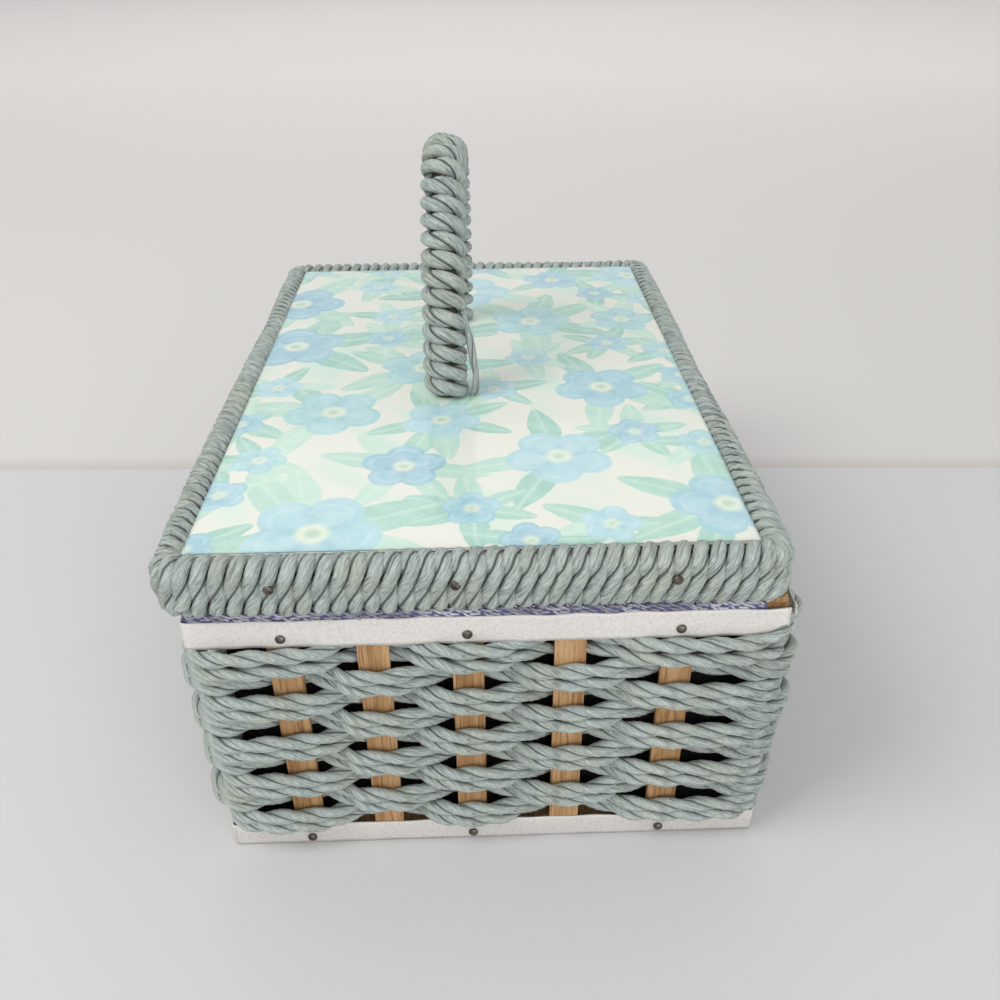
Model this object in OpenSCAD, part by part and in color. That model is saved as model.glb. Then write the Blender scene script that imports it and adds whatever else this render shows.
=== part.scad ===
/* [Body] */
// Width of the woven body at its top, over the tape
body_w = 190; // [160:1:230]
// Length of the woven body at its top, over the tape
body_l = 282; // [240:1:340]
// Height of the body, from the floor to the top of its rails
body_h = 101.6; // [95:0.1:130]
// How far each wall leans out between the floor and the top of the rails
flare = 2; // [0:0.5:4]
// Thickness of the base board
base_t = 6.5; // [5:0.5:9]
// Height of the rails round the top
rail_h = 10.2; // [9:0.1:14]
// Corner radius of the base, the tapes and the braid
corner_r = 3; // [1:0.5:6]

/* [Stakes and weave] */
// Thickness of a stake
stake_t = 2; // [1.5:0.1:3]
// Width of a stake
stake_w = 10; // [7:0.5:12]
// Number of stakes on each end
end_stakes = 5; // [3:1:6]
// Number of stakes on each long side
side_stakes = 8; // [6:1:9]
// From an end's left corner to its first stake
stake_edge_left = 30; // [26:1:40]
// From an end's right corner to its last stake
stake_edge_right = 36; // [26:1:40]
// From a long side's corners to its outer stakes
stake_edge_side = 32; // [26:1:40]
// How far the middle stake of an end stands left of an even spacing
stake_drift = 4.5; // [0:0.5:5]
// Number of woven rows
rows = 9; // [7:1:10]
// Thickness of the woven cord
cord_t = 4.8; // [3:0.1:5.5]
// Corner radius of the woven rows, at the middle of the cord
weave_corner_r = 9; // [8:0.5:18]
// How far the woven rows bulge out at the corners
weave_corner_out = 3; // [0:0.5:4]
// Height left free between two woven rows
row_gap = 0.6; // [0.4:0.1:1.5]

/* [Tapes and braid] */
// Thickness of the vinyl tape
tape_t = 0.5; // [0.3:0.1:1]
// Height of the tape round the foot
foot_tape_h = 9.5; // [8:0.1:14]
// Height of the braid on the top edge
braid_h = 2.6; // [2:0.1:4]
// Radius of a nail's head
nail_head_r = 1.6; // [1.2:0.1:2]
// Thickness of a nail's head
nail_head_t = 0.9; // [0.5:0.1:1.5]
// Radius of a nail's shank
nail_r = 0.7; // [0.5:0.1:1]
// Height of the nails in the foot tape
foot_nail_z = 3.2; // [2.5:0.1:4.5]
// Height of the nails in the top tape above the tape's lower edge
top_nail_rise = 3.6; // [2.5:0.1:6]
// Length of the nails in the tapes
tape_nail_l = 8; // [6:0.5:9]

/* [Lining and tray] */
// Thickness of the liner boards
liner_t = 2.5; // [2:0.1:4]
// Thickness of the satin on the liner boards
satin_t = 0.8; // [0.5:0.1:1.5]
// Thickness of the covered card on the base
base_card_t = 1.5; // [1:0.1:3]
// Side of the square cleats that carry the tray
cleat = 4; // [3:0.5:6]
// Length of the tray
tray_l = 160; // [120:1:180]
// Height of the tray
tray_h = 26; // [20:1:32]
// How far the tray's top edge lies below the top of the rails
tray_drop = 5.6; // [4:0.1:12]
// Wall and floor of the tray
tray_t = 1.6; // [1.2:0.1:2.5]
// Width of the tray's left compartments
tray_bay_w = 96; // [60:1:110]
// Length of the tray's near compartments
tray_bay_l = 62; // [40:1:90]

/* [Lid] */
// How far the lid stands over the body on the latch side
lid_over_latch = 6.5; // [4:0.5:8]
// How far the lid's hinge side stands inside the body's
lid_under_hinge = 3.5; // [0:0.5:4.5]
// How far the lid stands over the body at each end
lid_over_end = 3; // [0:0.5:6]
// Width of the wrapped rim, seen from above
rim_w = 9; // [8:0.1:12]
// Height of the wrapped rim
rim_h = 19.6; // [19:0.1:24]
// Thickness of the cord wrapped round the rim
wrap_t = 2.5; // [2:0.1:3]
// Distance from one turn of the rim's wrap to the next
wrap_pitch = 5.1; // [4.5:0.1:8]
// Depth of the grooves between the turns of the rim's wrap
wrap_groove = 0.9; // [0.5:0.1:1.2]
// Corner radius of the rim
rim_corner_r = 9; // [7:0.5:14]
// Width of the battens inside the rim
batten_w = 6; // [5:0.5:8]
// Thickness of the lid board
board_t = 3; // [2.5:0.1:5]
// Thickness of the padding on the lid board
padding_t = 1.2; // [0.8:0.1:2]
// Thickness of the printed cover
print_t = 0.4; // [0.3:0.1:0.8]
// Thickness of the clear vinyl over the print
vinyl_t = 0.3; // [0.2:0.1:0.6]
// How far the rim stands above the clear vinyl
rim_proud = 0.9; // [0.5:0.1:2]
// Thickness of the lid's lining
lid_lining_t = 1.5; // [1:0.1:2]
// Length of the nails in the rim
rim_nail_l = 13; // [11:0.5:14]
// How far the middle nail of an end's rim stands left of the middle
rim_nail_drift = 5.5; // [0:0.5:8]

/* [Handle] */
// Half the distance between the handle's feet, at the middle of its core
handle_half_span = 42; // [36:0.5:50]
// Height of the handle above the clear vinyl, at the middle of its core
handle_rise = 82; // [70:0.5:90]
// Angle that each leg of the handle bends through below its top
handle_bend = 35; // [30:1:40]
// Radius of the handle's core
handle_core_r = 4.8; // [3.5:0.1:5]
// Thickness of the cord wrapped round the handle
handle_cord_t = 4.4; // [3:0.1:4.5]
// Width of one turn of the handle's wrap
handle_cord_w = 5.6; // [3.8:0.1:5.8]
// Turns of the handle's wrap
handle_turns = 27; // [12:1:28]
// Handle's centre left of the lid's centre
handle_left = 8; // [0:0.5:15]
// Handle's centre beyond the lid's centre
handle_back = 16; // [0:0.5:20]
// Turn of the handle against the lid's long edges
handle_yaw = 1.5; // [0:0.5:6]
// Radius of the handle's screws
screw_r = 1.5; // [1.2:0.1:2]

/* [Hinges and latch] */
// Length of a hinge
hinge_l = 26; // [20:1:32]
// Height of a hinge leaf
leaf_h = 7; // [6:0.1:8]
// Thickness of a hinge leaf
leaf_t = 0.8; // [0.6:0.1:1]
// Outer radius of a hinge knuckle
knuckle_r = 2; // [1.8:0.1:2.5]
// Radius of a hinge pin
pin_r = 0.9; // [0.7:0.1:1.2]
// Wire radius of the latch loop
wire_r = 1; // [0.8:0.1:1.2]
// Half width of the latch loop, to the middle of its wire
loop_half_w = 6; // [5:0.1:8]
// Radius of the stud's head
stud_head_r = 3.8; // [3:0.1:4.5]
// Radius of the stud's post
stud_r = 2; // [1.5:0.1:2.5]
// Radial clearance of a pin in its bore
pin_gap = 0.05; // [0.03:0.01:0.1]
// Clearance between loose pieces
gap = 0.3; // [0.2:0.05:0.5]

/* [Hidden] */
SIDE = ["near", "right", "far", "left"];
$fn = 32;
over = 1; // how far a cut runs past the face it opens

// The four sides are 0 near (-Y), 1 right (+X), 2 far (+Y) and 3 left (-X).
// A side is drawn as the near one, with its outside towards -Y, and then turned.
function half(side) = side % 2 == 0 ? body_l / 2 : body_w / 2;
function lean(z) = flare * (1 - z / body_h);
function turned(p, side) = side == 0 ? p : side == 1 ? [-p[1], p[0]] : side == 2 ? -p : [p[1], -p[0]];

// Layers of a wall, each as its distance inside the tape's outer face
stake_out = tape_t;
stake_mid = tape_t + stake_t / 2;
stake_in = tape_t + stake_t;
weave_swing = stake_t / 2 + cord_t / 2 + gap * 0.7;
liner_out = stake_mid + weave_swing + cord_t / 2 + gap + lean(foot_tape_h);
liner_in = liner_out + liner_t;
satin_in = liner_in + satin_t;

// Heights
rail_z = body_h - rail_h;
row_pitch = (rail_z - foot_tape_h - 2 * row_gap) / rows;
row_h = row_pitch - row_gap;
liner_top = body_h - braid_h / 2;
rim_z = body_h + braid_h + gap;
rim_top = rim_z + rim_h;
vinyl_z = rim_top - rim_proud - vinyl_t;
print_z = vinyl_z - print_t;
padding_z = print_z - padding_t;
board_z = padding_z - board_t;
lid_lining_z = board_z - lid_lining_t;
panel_z = vinyl_z + vinyl_t;

// The lid stands inside the body's face on the hinge side and over it on the latch side
lid_w = body_w + lid_over_latch - lid_under_hinge;
lid_l = body_l + 2 * lid_over_end;
lid_x = -(lid_over_latch + lid_under_hinge) / 2;
rail_outset = wrap_t;
panel_hw = lid_w / 2 - rim_w;
panel_hl = lid_l / 2 - rim_w;
batten_z = rim_z + wrap_t;

// Stakes and nails
function stake_count(side) = side % 2 == 0 ? end_stakes : side_stakes;
function even_place(i, n, first, last) = first + (last - first) * i / (n - 1);
function stake_at(side, i) = side % 2 == 0
    ? even_place(i, end_stakes, stake_edge_left - body_w / 2, body_w / 2 - stake_edge_right)
        - stake_drift * sin(180 * i / (end_stakes - 1))
    : even_place(i, side_stakes, stake_edge_side - body_l / 2, body_l / 2 - stake_edge_side);
function nailed(side, i) = min(i, stake_count(side) - 1 - i) % 2 == 0;
function stakes_before(side) = side == 0 ? 0 : stakes_before(side - 1) + stake_count(side - 1);

// Hinges and latch
hinge_stake = 1;
hinge_y = abs(stake_at(1, hinge_stake));
hinge_x = body_w / 2 + knuckle_r;
hinge_z = (body_h + rim_z) / 2;
leaf_clear = knuckle_r + gap;
knuckle_mid = hinge_l * 0.18;
tack_y = hinge_l * 0.33;
tack_z = leaf_clear + leaf_h * 0.45;
pivot_x = lid_x - lid_w / 2 - leaf_t - knuckle_r + 0.2;
pivot_z = rim_z + rim_h * 0.46;
stud_z = body_h - rail_h * 0.5;
loop_low = stud_z - stud_head_r - wire_r - 1.2 * gap;
stud_head_x = pivot_x - wire_r - 1.4 * gap;

// Handle
handle_x = lid_x - handle_left;
arch_centres = (handle_rise - handle_half_span) / (sin(handle_bend) + cos(handle_bend) - 1);
arch_top_r = handle_rise - arch_centres * sin(handle_bend);
arch_leg_r = arch_centres + arch_top_r;
leg_len = arch_leg_r * handle_bend * PI / 180;
handle_len = 2 * leg_len + arch_top_r * (180 - 2 * handle_bend) * PI / 180;
wrap_path_r = handle_core_r + handle_cord_t / 2 + gap / 3;
ring_steps = 16;
wrap_lead = handle_cord_t;
wrap_turn_r = handle_cord_w;

// Tray
tray_hw = body_w / 2 - satin_in - 2 * gap;
tray_y1 = body_l / 2 - satin_in - 2 * gap;
tray_z = body_h - tray_drop - tray_h;

module on_side(side) rotate([0, 0, 90 * side]) children();

module round_rect(hw, hl, r) {
    square([2 * hw, 2 * (hl - r)], center = true);
    square([2 * (hw - r), 2 * hl], center = true);
    for (x = [-1, 1], y = [-1, 1]) translate([x * (hw - r), y * (hl - r)]) circle(r);
}

module slab(hw, hl, r, z, h) translate([0, 0, z]) linear_extrude(h) round_rect(hw, hl, r);

module ring(hw, hl, r, t, z, h) difference() {
    slab(hw, hl, r, z, h);
    slab(hw - t, hl - t, max(r - t, 0.5), z - over, h + 2 * over);
}

// A bar along one side whose faces lean with the wall
module leaning_bar(side, pos, width, z0, z1, d_out, d_in) {
    y = half(side);
    on_side(side) translate([pos - width / 2, 0, 0]) rotate([90, 0, 90]) linear_extrude(width)
        polygon([[lean(z0) + d_out - y, z0], [lean(z0) + d_in - y, z0],
                 [lean(z1) + d_in - y, z1], [lean(z1) + d_out - y, z1]]);
}

// A cylinder that runs inwards from a distance inside the tape's face
module peg(side, pos, z, from, length, r) on_side(side)
    translate([pos, from - half(side), z]) rotate([-90, 0, 0]) cylinder(length, r, r);

module nail(side, pos, z, from, length) {
    peg(side, pos, z, from - nail_head_t, nail_head_t, nail_head_r);
    peg(side, pos, z, from - 0.1, length + 0.1, nail_r);
}

module each_tape_nail() for (side = [0:3], i = [0:stake_count(side) - 1])
    if (nailed(side, i)) {
        $side = side;
        $pos = stake_at(side, i);
        children();
    }

module top_nail_holes() each_tape_nail()
    peg($side, $pos, rail_z + top_nail_rise, -over, tape_nail_l + over + gap, nail_r);

module foot_nail_holes() each_tape_nail()
    peg($side, $pos, foot_nail_z, -over, tape_nail_l + over + lean(0) + gap, nail_r);

module each_tack() for (y = [-hinge_y, hinge_y], dy = [-tack_y, tack_y]) {
    $pos = y + dy;
    children();
}

module lower_tack_holes() each_tack() peg(1, $pos, hinge_z - tack_z, -over, tape_nail_l + over, nail_r);

module stud_hole() peg(3, 0, stud_z, -over, tape_nail_l + over + gap, stud_r * 0.6);

// Body
module base_board() color("burlywood") difference() {
    slab(body_w / 2 - lean(0) - stake_in, body_l / 2 - lean(0) - stake_in, corner_r, 0, base_t);
    foot_nail_holes();
}

module base_card() color("lavender")
    slab(body_w / 2 - satin_in - gap, body_l / 2 - satin_in - gap, 0.5, base_t, base_card_t);

module stakes(side) color("peru") difference() {
    for (i = [0:stake_count(side) - 1])
        leaning_bar(side, stake_at(side, i), stake_w, gap, body_h, stake_out, stake_in);
    top_nail_holes();
    foot_nail_holes();
}

module top_rail(side) color("burlywood") {
    end = side % 2 == 0;
    length = end ? body_w - 2 * liner_out : body_l - 2 * (lean(rail_z) + stake_in);
    y = half(side);
    difference() {
        on_side(side) translate([-length / 2, 0, 0]) rotate([90, 0, 90]) linear_extrude(length)
            polygon([[lean(rail_z) + stake_in - y, rail_z], [liner_out - y, rail_z],
                     [liner_out - y, body_h], [stake_in - y, body_h]]);
        top_nail_holes();
        lower_tack_holes();
        stud_hole();
    }
}

module liner_board(side) color("wheat") {
    end = side % 2 == 0;
    length = end ? body_w - 2 * liner_in : body_l - 2 * liner_out;
    on_side(side) translate([-length / 2, liner_out - half(side), base_t])
        cube([length, liner_t, liner_top - base_t]);
}

module satin_lining() color("lavender") for (side = [0:3]) {
    length = side % 2 == 0 ? body_w - 2 * satin_in - 2 * gap : body_l - 2 * liner_in;
    on_side(side) translate([-length / 2, liner_in - half(side), base_t])
        cube([length, satin_t, liner_top - base_t]);
}

module tray_cleats() color("burlywood") for (side = [-1, 1])
    translate([side * (body_w / 2 - satin_in - cleat / 2) - cleat / 2, tray_y1 - tray_l, tray_z - cleat])
        cube([cleat, tray_l, cleat]);

module top_braid() color("thistle")
    ring(body_w / 2 - stake_out, body_l / 2 - stake_out, corner_r, satin_in - stake_out, body_h, braid_h);

module top_tape() color("whitesmoke") difference() {
    ring(body_w / 2, body_l / 2, corner_r, tape_t, rail_z, rail_h);
    top_nail_holes();
    lower_tack_holes();
    stud_hole();
}

module foot_tape() color("whitesmoke") difference() {
    inset = lean(foot_tape_h);
    ring(body_w / 2 - inset, body_l / 2 - inset, corner_r, tape_t, gap, foot_tape_h - gap);
    foot_nail_holes();
}

module top_tape_nails() color("dimgray") each_tape_nail()
    nail($side, $pos, rail_z + top_nail_rise, 0, tape_nail_l);

module foot_tape_nails() color("dimgray") each_tape_nail()
    nail($side, $pos, foot_nail_z, lean(foot_tape_h), tape_nail_l);

// A woven row swings out round one stake and in behind the next
function swing(side, i, row) = ((stakes_before(side) + i + row) % 2 == 0 ? 1 : -1) * weave_swing;
function stake_plane(side, z) = half(side) - lean(z) - stake_mid;
function corner_plane(side, z) = stake_plane(side, z) + weave_corner_out - weave_corner_r;
function row_points(z, row, outset) = [
    for (side = [0:3]) each concat(
        [for (i = [0:stake_count(side) - 1], dx = [-1, 1])
            turned([stake_at(side, i) + dx * (stake_w / 2 + 1.2),
                    -stake_plane(side, z) - swing(side, i, row) - outset], side)],
        [for (a = [-90:18:0])
            turned([corner_plane(side + 1, z) + (weave_corner_r + outset) * cos(a),
                    (weave_corner_r + outset) * sin(a) - corner_plane(side, z)], side)])];

module weave_row(row) {
    z = rail_z - row_gap - row * row_pitch + row_gap / 2;
    color("darkseagreen") translate([0, 0, z]) linear_extrude(row_h) difference() {
        polygon(row_points(z + row_h / 2, rows - row, cord_t / 2));
        polygon(row_points(z + row_h / 2, rows - row, -cord_t / 2));
    }
}

// Hinges: the pin stays in the lower leaf's two knuckles and turns in the upper leaf's one.
// The upper leaf steps inwards above its knuckle, to the lid's face.
module knuckle(y0, y1) translate([hinge_x, y0, hinge_z]) rotate([-90, 0, 0])
    cylinder(y1 - y0, knuckle_r, knuckle_r);

module pin_bore() translate([hinge_x, -hinge_l, hinge_z]) rotate([-90, 0, 0])
    cylinder(2 * hinge_l, pin_r + pin_gap, pin_r + pin_gap);

module leaf_plate(y0, y1, z0, z1, inset = 0) translate([body_w / 2 - inset, y0, hinge_z + z0])
    cube([leaf_t + inset, y1 - y0, z1 - z0]);

module hinge_lower_leaves() color("goldenrod") for (y = [-hinge_y, hinge_y]) difference() {
    translate([0, y, 0]) difference() {
        union() {
            leaf_plate(-hinge_l / 2, hinge_l / 2, -leaf_clear - leaf_h, -leaf_clear);
            for (side = [-1, 1]) mirror([0, side < 0 ? 1 : 0, 0]) {
                leaf_plate(knuckle_mid + gap, hinge_l / 2, -leaf_clear - 0.1, 0);
                knuckle(knuckle_mid + gap, hinge_l / 2);
            }
        }
        pin_bore();
    }
    lower_tack_holes();
}

module hinge_upper_leaves() color("goldenrod") for (y = [-hinge_y, hinge_y]) difference() {
    translate([0, y, 0]) difference() {
        union() {
            translate([-lid_under_hinge, 0, 0])
                leaf_plate(-hinge_l / 2, hinge_l / 2, leaf_clear, leaf_clear + leaf_h);
            leaf_plate(-hinge_l / 2, hinge_l / 2, leaf_clear, leaf_clear + leaf_t, lid_under_hinge);
            leaf_plate(-knuckle_mid, knuckle_mid, 0, leaf_clear + 0.1);
            knuckle(-knuckle_mid, knuckle_mid);
        }
        pin_bore();
    }
    upper_tack_holes();
}

module hinge_pins() color("gold") for (y = [-hinge_y, hinge_y]) translate([hinge_x, y, hinge_z])
    for (side = [-1, 1]) mirror([0, side < 0 ? 1 : 0, 0]) rotate([-90, 0, 0]) {
        cylinder(hinge_l / 2 + 0.2, pin_r, pin_r);
        translate([0, 0, hinge_l / 2 + 0.1]) cylinder(0.6, pin_r * 1.5, pin_r * 1.5);
    }

module hinge_lower_tacks() color("dimgray") each_tack()
    nail(1, $pos, hinge_z - tack_z, -leaf_t, tape_nail_l - over);

module hinge_upper_tacks() color("dimgray") each_tack()
    nail(1, $pos, hinge_z + tack_z, lid_under_hinge - leaf_t, tape_nail_l - over);

module upper_tack_holes() each_tack()
    peg(1, $pos, hinge_z + tack_z, lid_under_hinge - over, tape_nail_l + over, nail_r);

module latch_stud() color("goldenrod") {
    peg(3, 0, stud_z, -leaf_t, leaf_t, stud_head_r);
    peg(3, 0, stud_z, stud_head_x + body_w / 2 - 0.1, -stud_head_x - body_w / 2 + 0.1, stud_r);
    peg(3, 0, stud_z, -0.1, tape_nail_l + 0.1, stud_r * 0.6);
    translate([stud_head_x, 0, stud_z]) rotate([0, -90, 0])
        cylinder(2.6, stud_head_r, stud_head_r * 0.8);
}

// Lid
module in_lid() translate([lid_x, 0, 0]) children();

module at_handle() translate([handle_x, handle_back, 0]) rotate([0, 0, -handle_yaw]) children();

module each_handle_foot() at_handle() for (y = [-handle_half_span, handle_half_span])
    translate([0, y, 0]) children();

module screw_holes(r) each_handle_foot() translate([0, 0, lid_lining_z - over]) cylinder(rim_top, r, r);

module lid_board() color("burlywood") difference() {
    in_lid() slab(panel_hw - gap, panel_hl - gap, 0.5, board_z, board_t);
    screw_holes(screw_r);
}

module lid_padding() color("ivory") difference() {
    in_lid() slab(panel_hw - gap, panel_hl - gap, 0.5, padding_z, padding_t);
    screw_holes(screw_r);
}

module lid_printed_cover() color("paleturquoise") difference() {
    in_lid() slab(panel_hw - gap, panel_hl - gap, 0.5, print_z, print_t);
    screw_holes(screw_r);
}

module lid_clear_vinyl() color("lightcyan") difference() {
    in_lid() slab(panel_hw - gap, panel_hl - gap, 0.5, vinyl_z, vinyl_t);
    screw_holes(screw_r);
}

module lid_lining() color("lavender") difference() {
    in_lid() slab(panel_hw - batten_w - gap, panel_hl - batten_w - gap, 0.5, lid_lining_z, lid_lining_t);
    screw_holes(screw_r);
}

// The rim's nails stand along each side and pass through wrap, rail and batten
rim_nails_end = 3;
rim_nails_side = 4;
rim_nail_z = rim_z + rim_h * 0.58;
function rim_half(side) = side % 2 == 0 ? lid_l / 2 : lid_w / 2;
function rim_nail_at(side, i) = side % 2 == 0
    ? even_place(i, rim_nails_end, 36 - lid_w / 2, lid_w / 2 - 36)
        - rim_nail_drift * sin(180 * i / (rim_nails_end - 1))
    : even_place(i, rim_nails_side, 36 - lid_l / 2, lid_l / 2 - 36);

module rim_peg(side, pos, z, from, length, r) in_lid() on_side(side)
    translate([pos, from - rim_half(side), z]) rotate([-90, 0, 0]) cylinder(length, r, r);

module each_rim_nail() for (side = [0:3], i = [0:(side % 2 == 0 ? rim_nails_end : rim_nails_side) - 1]) {
    $side = side;
    $pos = rim_nail_at(side, i);
    children();
}

module rim_nail_holes() each_rim_nail()
    rim_peg($side, $pos, rim_nail_z, -over, rim_nail_l + over + gap, nail_r);

module rim_nails() color("dimgray") each_rim_nail() {
    rim_peg($side, $pos, rim_nail_z, -nail_head_t, nail_head_t, nail_head_r);
    rim_peg($side, $pos, rim_nail_z, -0.1, rim_nail_l + 0.1, nail_r);
}

module bracket_holes() for (y = [-bracket_tack_y, bracket_tack_y])
    rim_peg(3, y, pivot_z, -over, tape_nail_l + over, nail_r);

module rim_rail(side) color("burlywood") {
    end = side % 2 == 0;
    length = end ? 2 * panel_hw : lid_l;
    difference() {
        intersection() {
            in_lid() on_side(side) translate([-length / 2, rail_outset - rim_half(side), rim_z + wrap_t])
                cube([length, rim_w - rail_outset, rim_h - 2 * wrap_t]);
            in_lid() slab(lid_w / 2 - rail_outset, lid_l / 2 - rail_outset, rim_corner_r - rail_outset,
                          rim_z, rim_h);
        }
        rim_nail_holes();
        upper_tack_holes();
        bracket_holes();
    }
}

module lid_battens() color("burlywood") difference() {
    for (side = [0:3]) {
        length = side % 2 == 0 ? 2 * (panel_hw - batten_w - gap) : 2 * (panel_hl - gap);
        in_lid() on_side(side) translate([-length / 2, rim_w + gap / 3 - rim_half(side), batten_z])
            cube([length, batten_w - gap / 3, board_z - batten_z]);
    }
    rim_nail_holes();
}

// Outline of the wrapped rim: one ridge and one groove for each turn of cord
function ridge_count(side) = round((2 * rim_half(side + 1) - 2 * rim_corner_r) / wrap_pitch);
function rim_outline() = [
    for (side = [0:3]) each concat(
        [for (i = [0:2 * ridge_count(side)])
            turned([even_place(i, 2 * ridge_count(side) + 1, rim_corner_r - rim_half(side + 1),
                               rim_half(side + 1) - rim_corner_r),
                    (i % 2 == 0 ? wrap_groove : 0) - rim_half(side)], side)],
        [for (a = [-72:18:-18])
            turned([rim_half(side + 1) - rim_corner_r + rim_corner_r * cos(a),
                    rim_corner_r - rim_half(side) + rim_corner_r * sin(a)], side)])];

module rim_wrap() color("darkseagreen") difference() {
    in_lid() difference() {
        translate([0, 0, rim_z]) linear_extrude(rim_h) difference() {
            polygon(rim_outline());
            square([2 * panel_hw, 2 * panel_hl], center = true);
        }
        slab(lid_w / 2 - wrap_t, lid_l / 2 - wrap_t, rim_corner_r - wrap_t, rim_z + wrap_t,
             rim_h - 2 * wrap_t);
    }
    rim_nail_holes();
    upper_tack_holes();
    bracket_holes();
}

// Handle: an arch of three arcs, two for the legs and a tighter one for the top
module core_arc(y, z, r, from, to) translate([0, y, panel_z + z]) rotate([90, 0, 90])
    rotate([0, 0, from]) rotate_extrude(angle = to - from) translate([r, 0]) circle(handle_core_r);

module handle_core() color("burlywood") difference() {
    at_handle() {
        core_arc(handle_half_span - arch_leg_r, 0, arch_leg_r, 0, handle_bend);
        core_arc(0, handle_rise - arch_top_r, arch_top_r, handle_bend, 180 - handle_bend);
        core_arc(arch_leg_r - handle_half_span, 0, arch_leg_r, 180 - handle_bend, 180);
    }
    each_handle_foot() translate([0, 0, panel_z - over]) cylinder(screw_in + over, screw_r, screw_r);
}

// The wrap's path on the unrolled core: round it, and along it. It rises from the panel, bends into
// the winding and ends the same way, so the second half is the first one turned about its middle.
wrap_round = 360 * handle_turns * PI * wrap_path_r / 180;
wrap_rise = atan((handle_len - 2 * (wrap_lead + wrap_turn_r)) / wrap_round);
bend = 90 - wrap_rise;
bend_end = [wrap_turn_r * (1 - cos(bend)), wrap_lead + wrap_turn_r * sin(bend)];
wind_end = [wrap_round, handle_len] - bend_end;
wind_steps = handle_turns * ring_steps;
bend_steps = 5;
half_path = concat([[0, 0]], [for (i = [0:bend_steps]) let (a = bend * i / bend_steps)
    [wrap_turn_r * (1 - cos(a)), wrap_lead + wrap_turn_r * sin(a)]]);
wrap_path = concat(half_path,
    [for (i = [1:wind_steps - 1]) bend_end + (wind_end - bend_end) * i / wind_steps],
    [for (i = [len(half_path) - 1:-1:0]) [wrap_round, handle_len] - half_path[i]]);

// Middle of the core, outward direction and forward direction at a length along the arch
function arch_part(s) = s < leg_len ? 0 : s > handle_len - leg_len ? 2 : 1;
function arch_r(s) = arch_part(s) == 1 ? arch_top_r : arch_leg_r;
function arch_angle(s) = let (k = arch_part(s)) k == 0 ? s / arch_leg_r * 180 / PI
    : k == 1 ? handle_bend + (s - leg_len) / arch_top_r * 180 / PI
    : 180 - (handle_len - s) / arch_leg_r * 180 / PI;
function arch_out(s) = let (a = arch_angle(s)) [0, -cos(a), sin(a)];
function arch_along(s) = let (a = arch_angle(s)) [0, sin(a), cos(a)];
function arch_centre(s) = [[0, arch_leg_r - handle_half_span, 0], [0, 0, handle_rise - arch_top_r],
    [0, handle_half_span - arch_leg_r, 0]][arch_part(s)];
function arch_point(s) = arch_centre(s) + arch_r(s) * arch_out(s);
function round_angle(p) = p[0] / wrap_path_r * 180 / PI;
function radial(p) = cos(round_angle(p)) * [1, 0, 0] + sin(round_angle(p)) * arch_out(p[1]);
function sideways(p) = -sin(round_angle(p)) * [1, 0, 0] + cos(round_angle(p)) * arch_out(p[1]);
function unit(v) = v / norm(v);
// The cord is squeezed narrower where it passes the inner side of the arch
function squeezed(p) = 1 + wrap_path_r * min(0, sin(round_angle(p))) / arch_r(p[1]);
function step_at(i) = unit(wrap_path[min(i + 1, len(wrap_path) - 1)] - wrap_path[max(i - 1, 0)]);
function wrap_ring(i) = let (
    p = wrap_path[i],
    d = i == 0 || i == len(wrap_path) - 1 ? [0, 1] : step_at(i),
    out = radial(p),
    side = unit(cross(d[0] * sideways(p) + d[1] * arch_along(p[1]), out)),
    wide = handle_cord_w / 2 * squeezed(p),
    middle = arch_point(p[1]) + wrap_path_r * out)
    [for (a = [30:60:330]) middle + handle_cord_t / 2 * sin(a) * out + wide * cos(a) * side];
wrap_rings = [for (i = [0:len(wrap_path) - 1]) wrap_ring(i)];
wrap_gap = min([for (i = [0:len(wrap_path) - 1 - ring_steps], k = [-2:2], a = [0:5], b = [0:5])
    if (i + ring_steps + k < len(wrap_path) && i + ring_steps + k > i + ring_steps / 2)
        norm(wrap_rings[i][a] - wrap_rings[i + ring_steps + k][b])]);
echo(handle_wrap_least_gap = wrap_gap);

module tube(rings) {
    n = len(rings);
    polyhedron([for (r = rings) each r], concat(
        [[5, 4, 3, 2, 1, 0]],
        [for (i = [0:n - 2], a = [0:5]) each [
            [6 * i + a, 6 * i + (a + 1) % 6, 6 * i + 6 + (a + 1) % 6],
            [6 * i + a, 6 * i + 6 + (a + 1) % 6, 6 * i + 6 + a]]],
        [[for (a = [0:5]) 6 * (n - 1) + a]]));
}

module handle_wrap() color("darkseagreen") at_handle() translate([0, 0, panel_z]) tube(wrap_rings);

screw_in = 16;
screw_head_t = 1.4;
module handle_screws() color("silver") each_handle_foot() {
    top = panel_z + screw_in - gap;
    translate([0, 0, washer_z - screw_head_t / 2]) cylinder(top - washer_z, screw_r, screw_r);
    translate([0, 0, washer_z - screw_head_t]) cylinder(screw_head_t, screw_r * 1.6, screw_r * 2.2);
}

washer_t = 0.8;
washer_z = lid_lining_z - washer_t;
module handle_washers() color("silver") each_handle_foot() translate([0, 0, washer_z]) difference() {
    cylinder(washer_t, screw_r * 3, screw_r * 3);
    translate([0, 0, -over]) cylinder(washer_t + 2 * over, screw_r, screw_r);
}

// Latch: a wire loop hangs in the bracket's barrel and drops over the stud
bracket_hw = 11;
bracket_tack_y = 8;
module latch_bracket() color("goldenrod") difference() {
    union() {
        translate([lid_x - lid_w / 2 - leaf_t, -bracket_hw, pivot_z - leaf_h / 2])
            cube([leaf_t, 2 * bracket_hw, leaf_h]);
        translate([pivot_x, -barrel_hw, pivot_z]) rotate([-90, 0, 0])
            cylinder(2 * barrel_hw, knuckle_r + 0.2, knuckle_r + 0.2);
    }
    translate([pivot_x, -bracket_hw, pivot_z]) rotate([-90, 0, 0])
        cylinder(2 * bracket_hw, wire_r + pin_gap, wire_r + pin_gap);
    bracket_holes();
}

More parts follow.
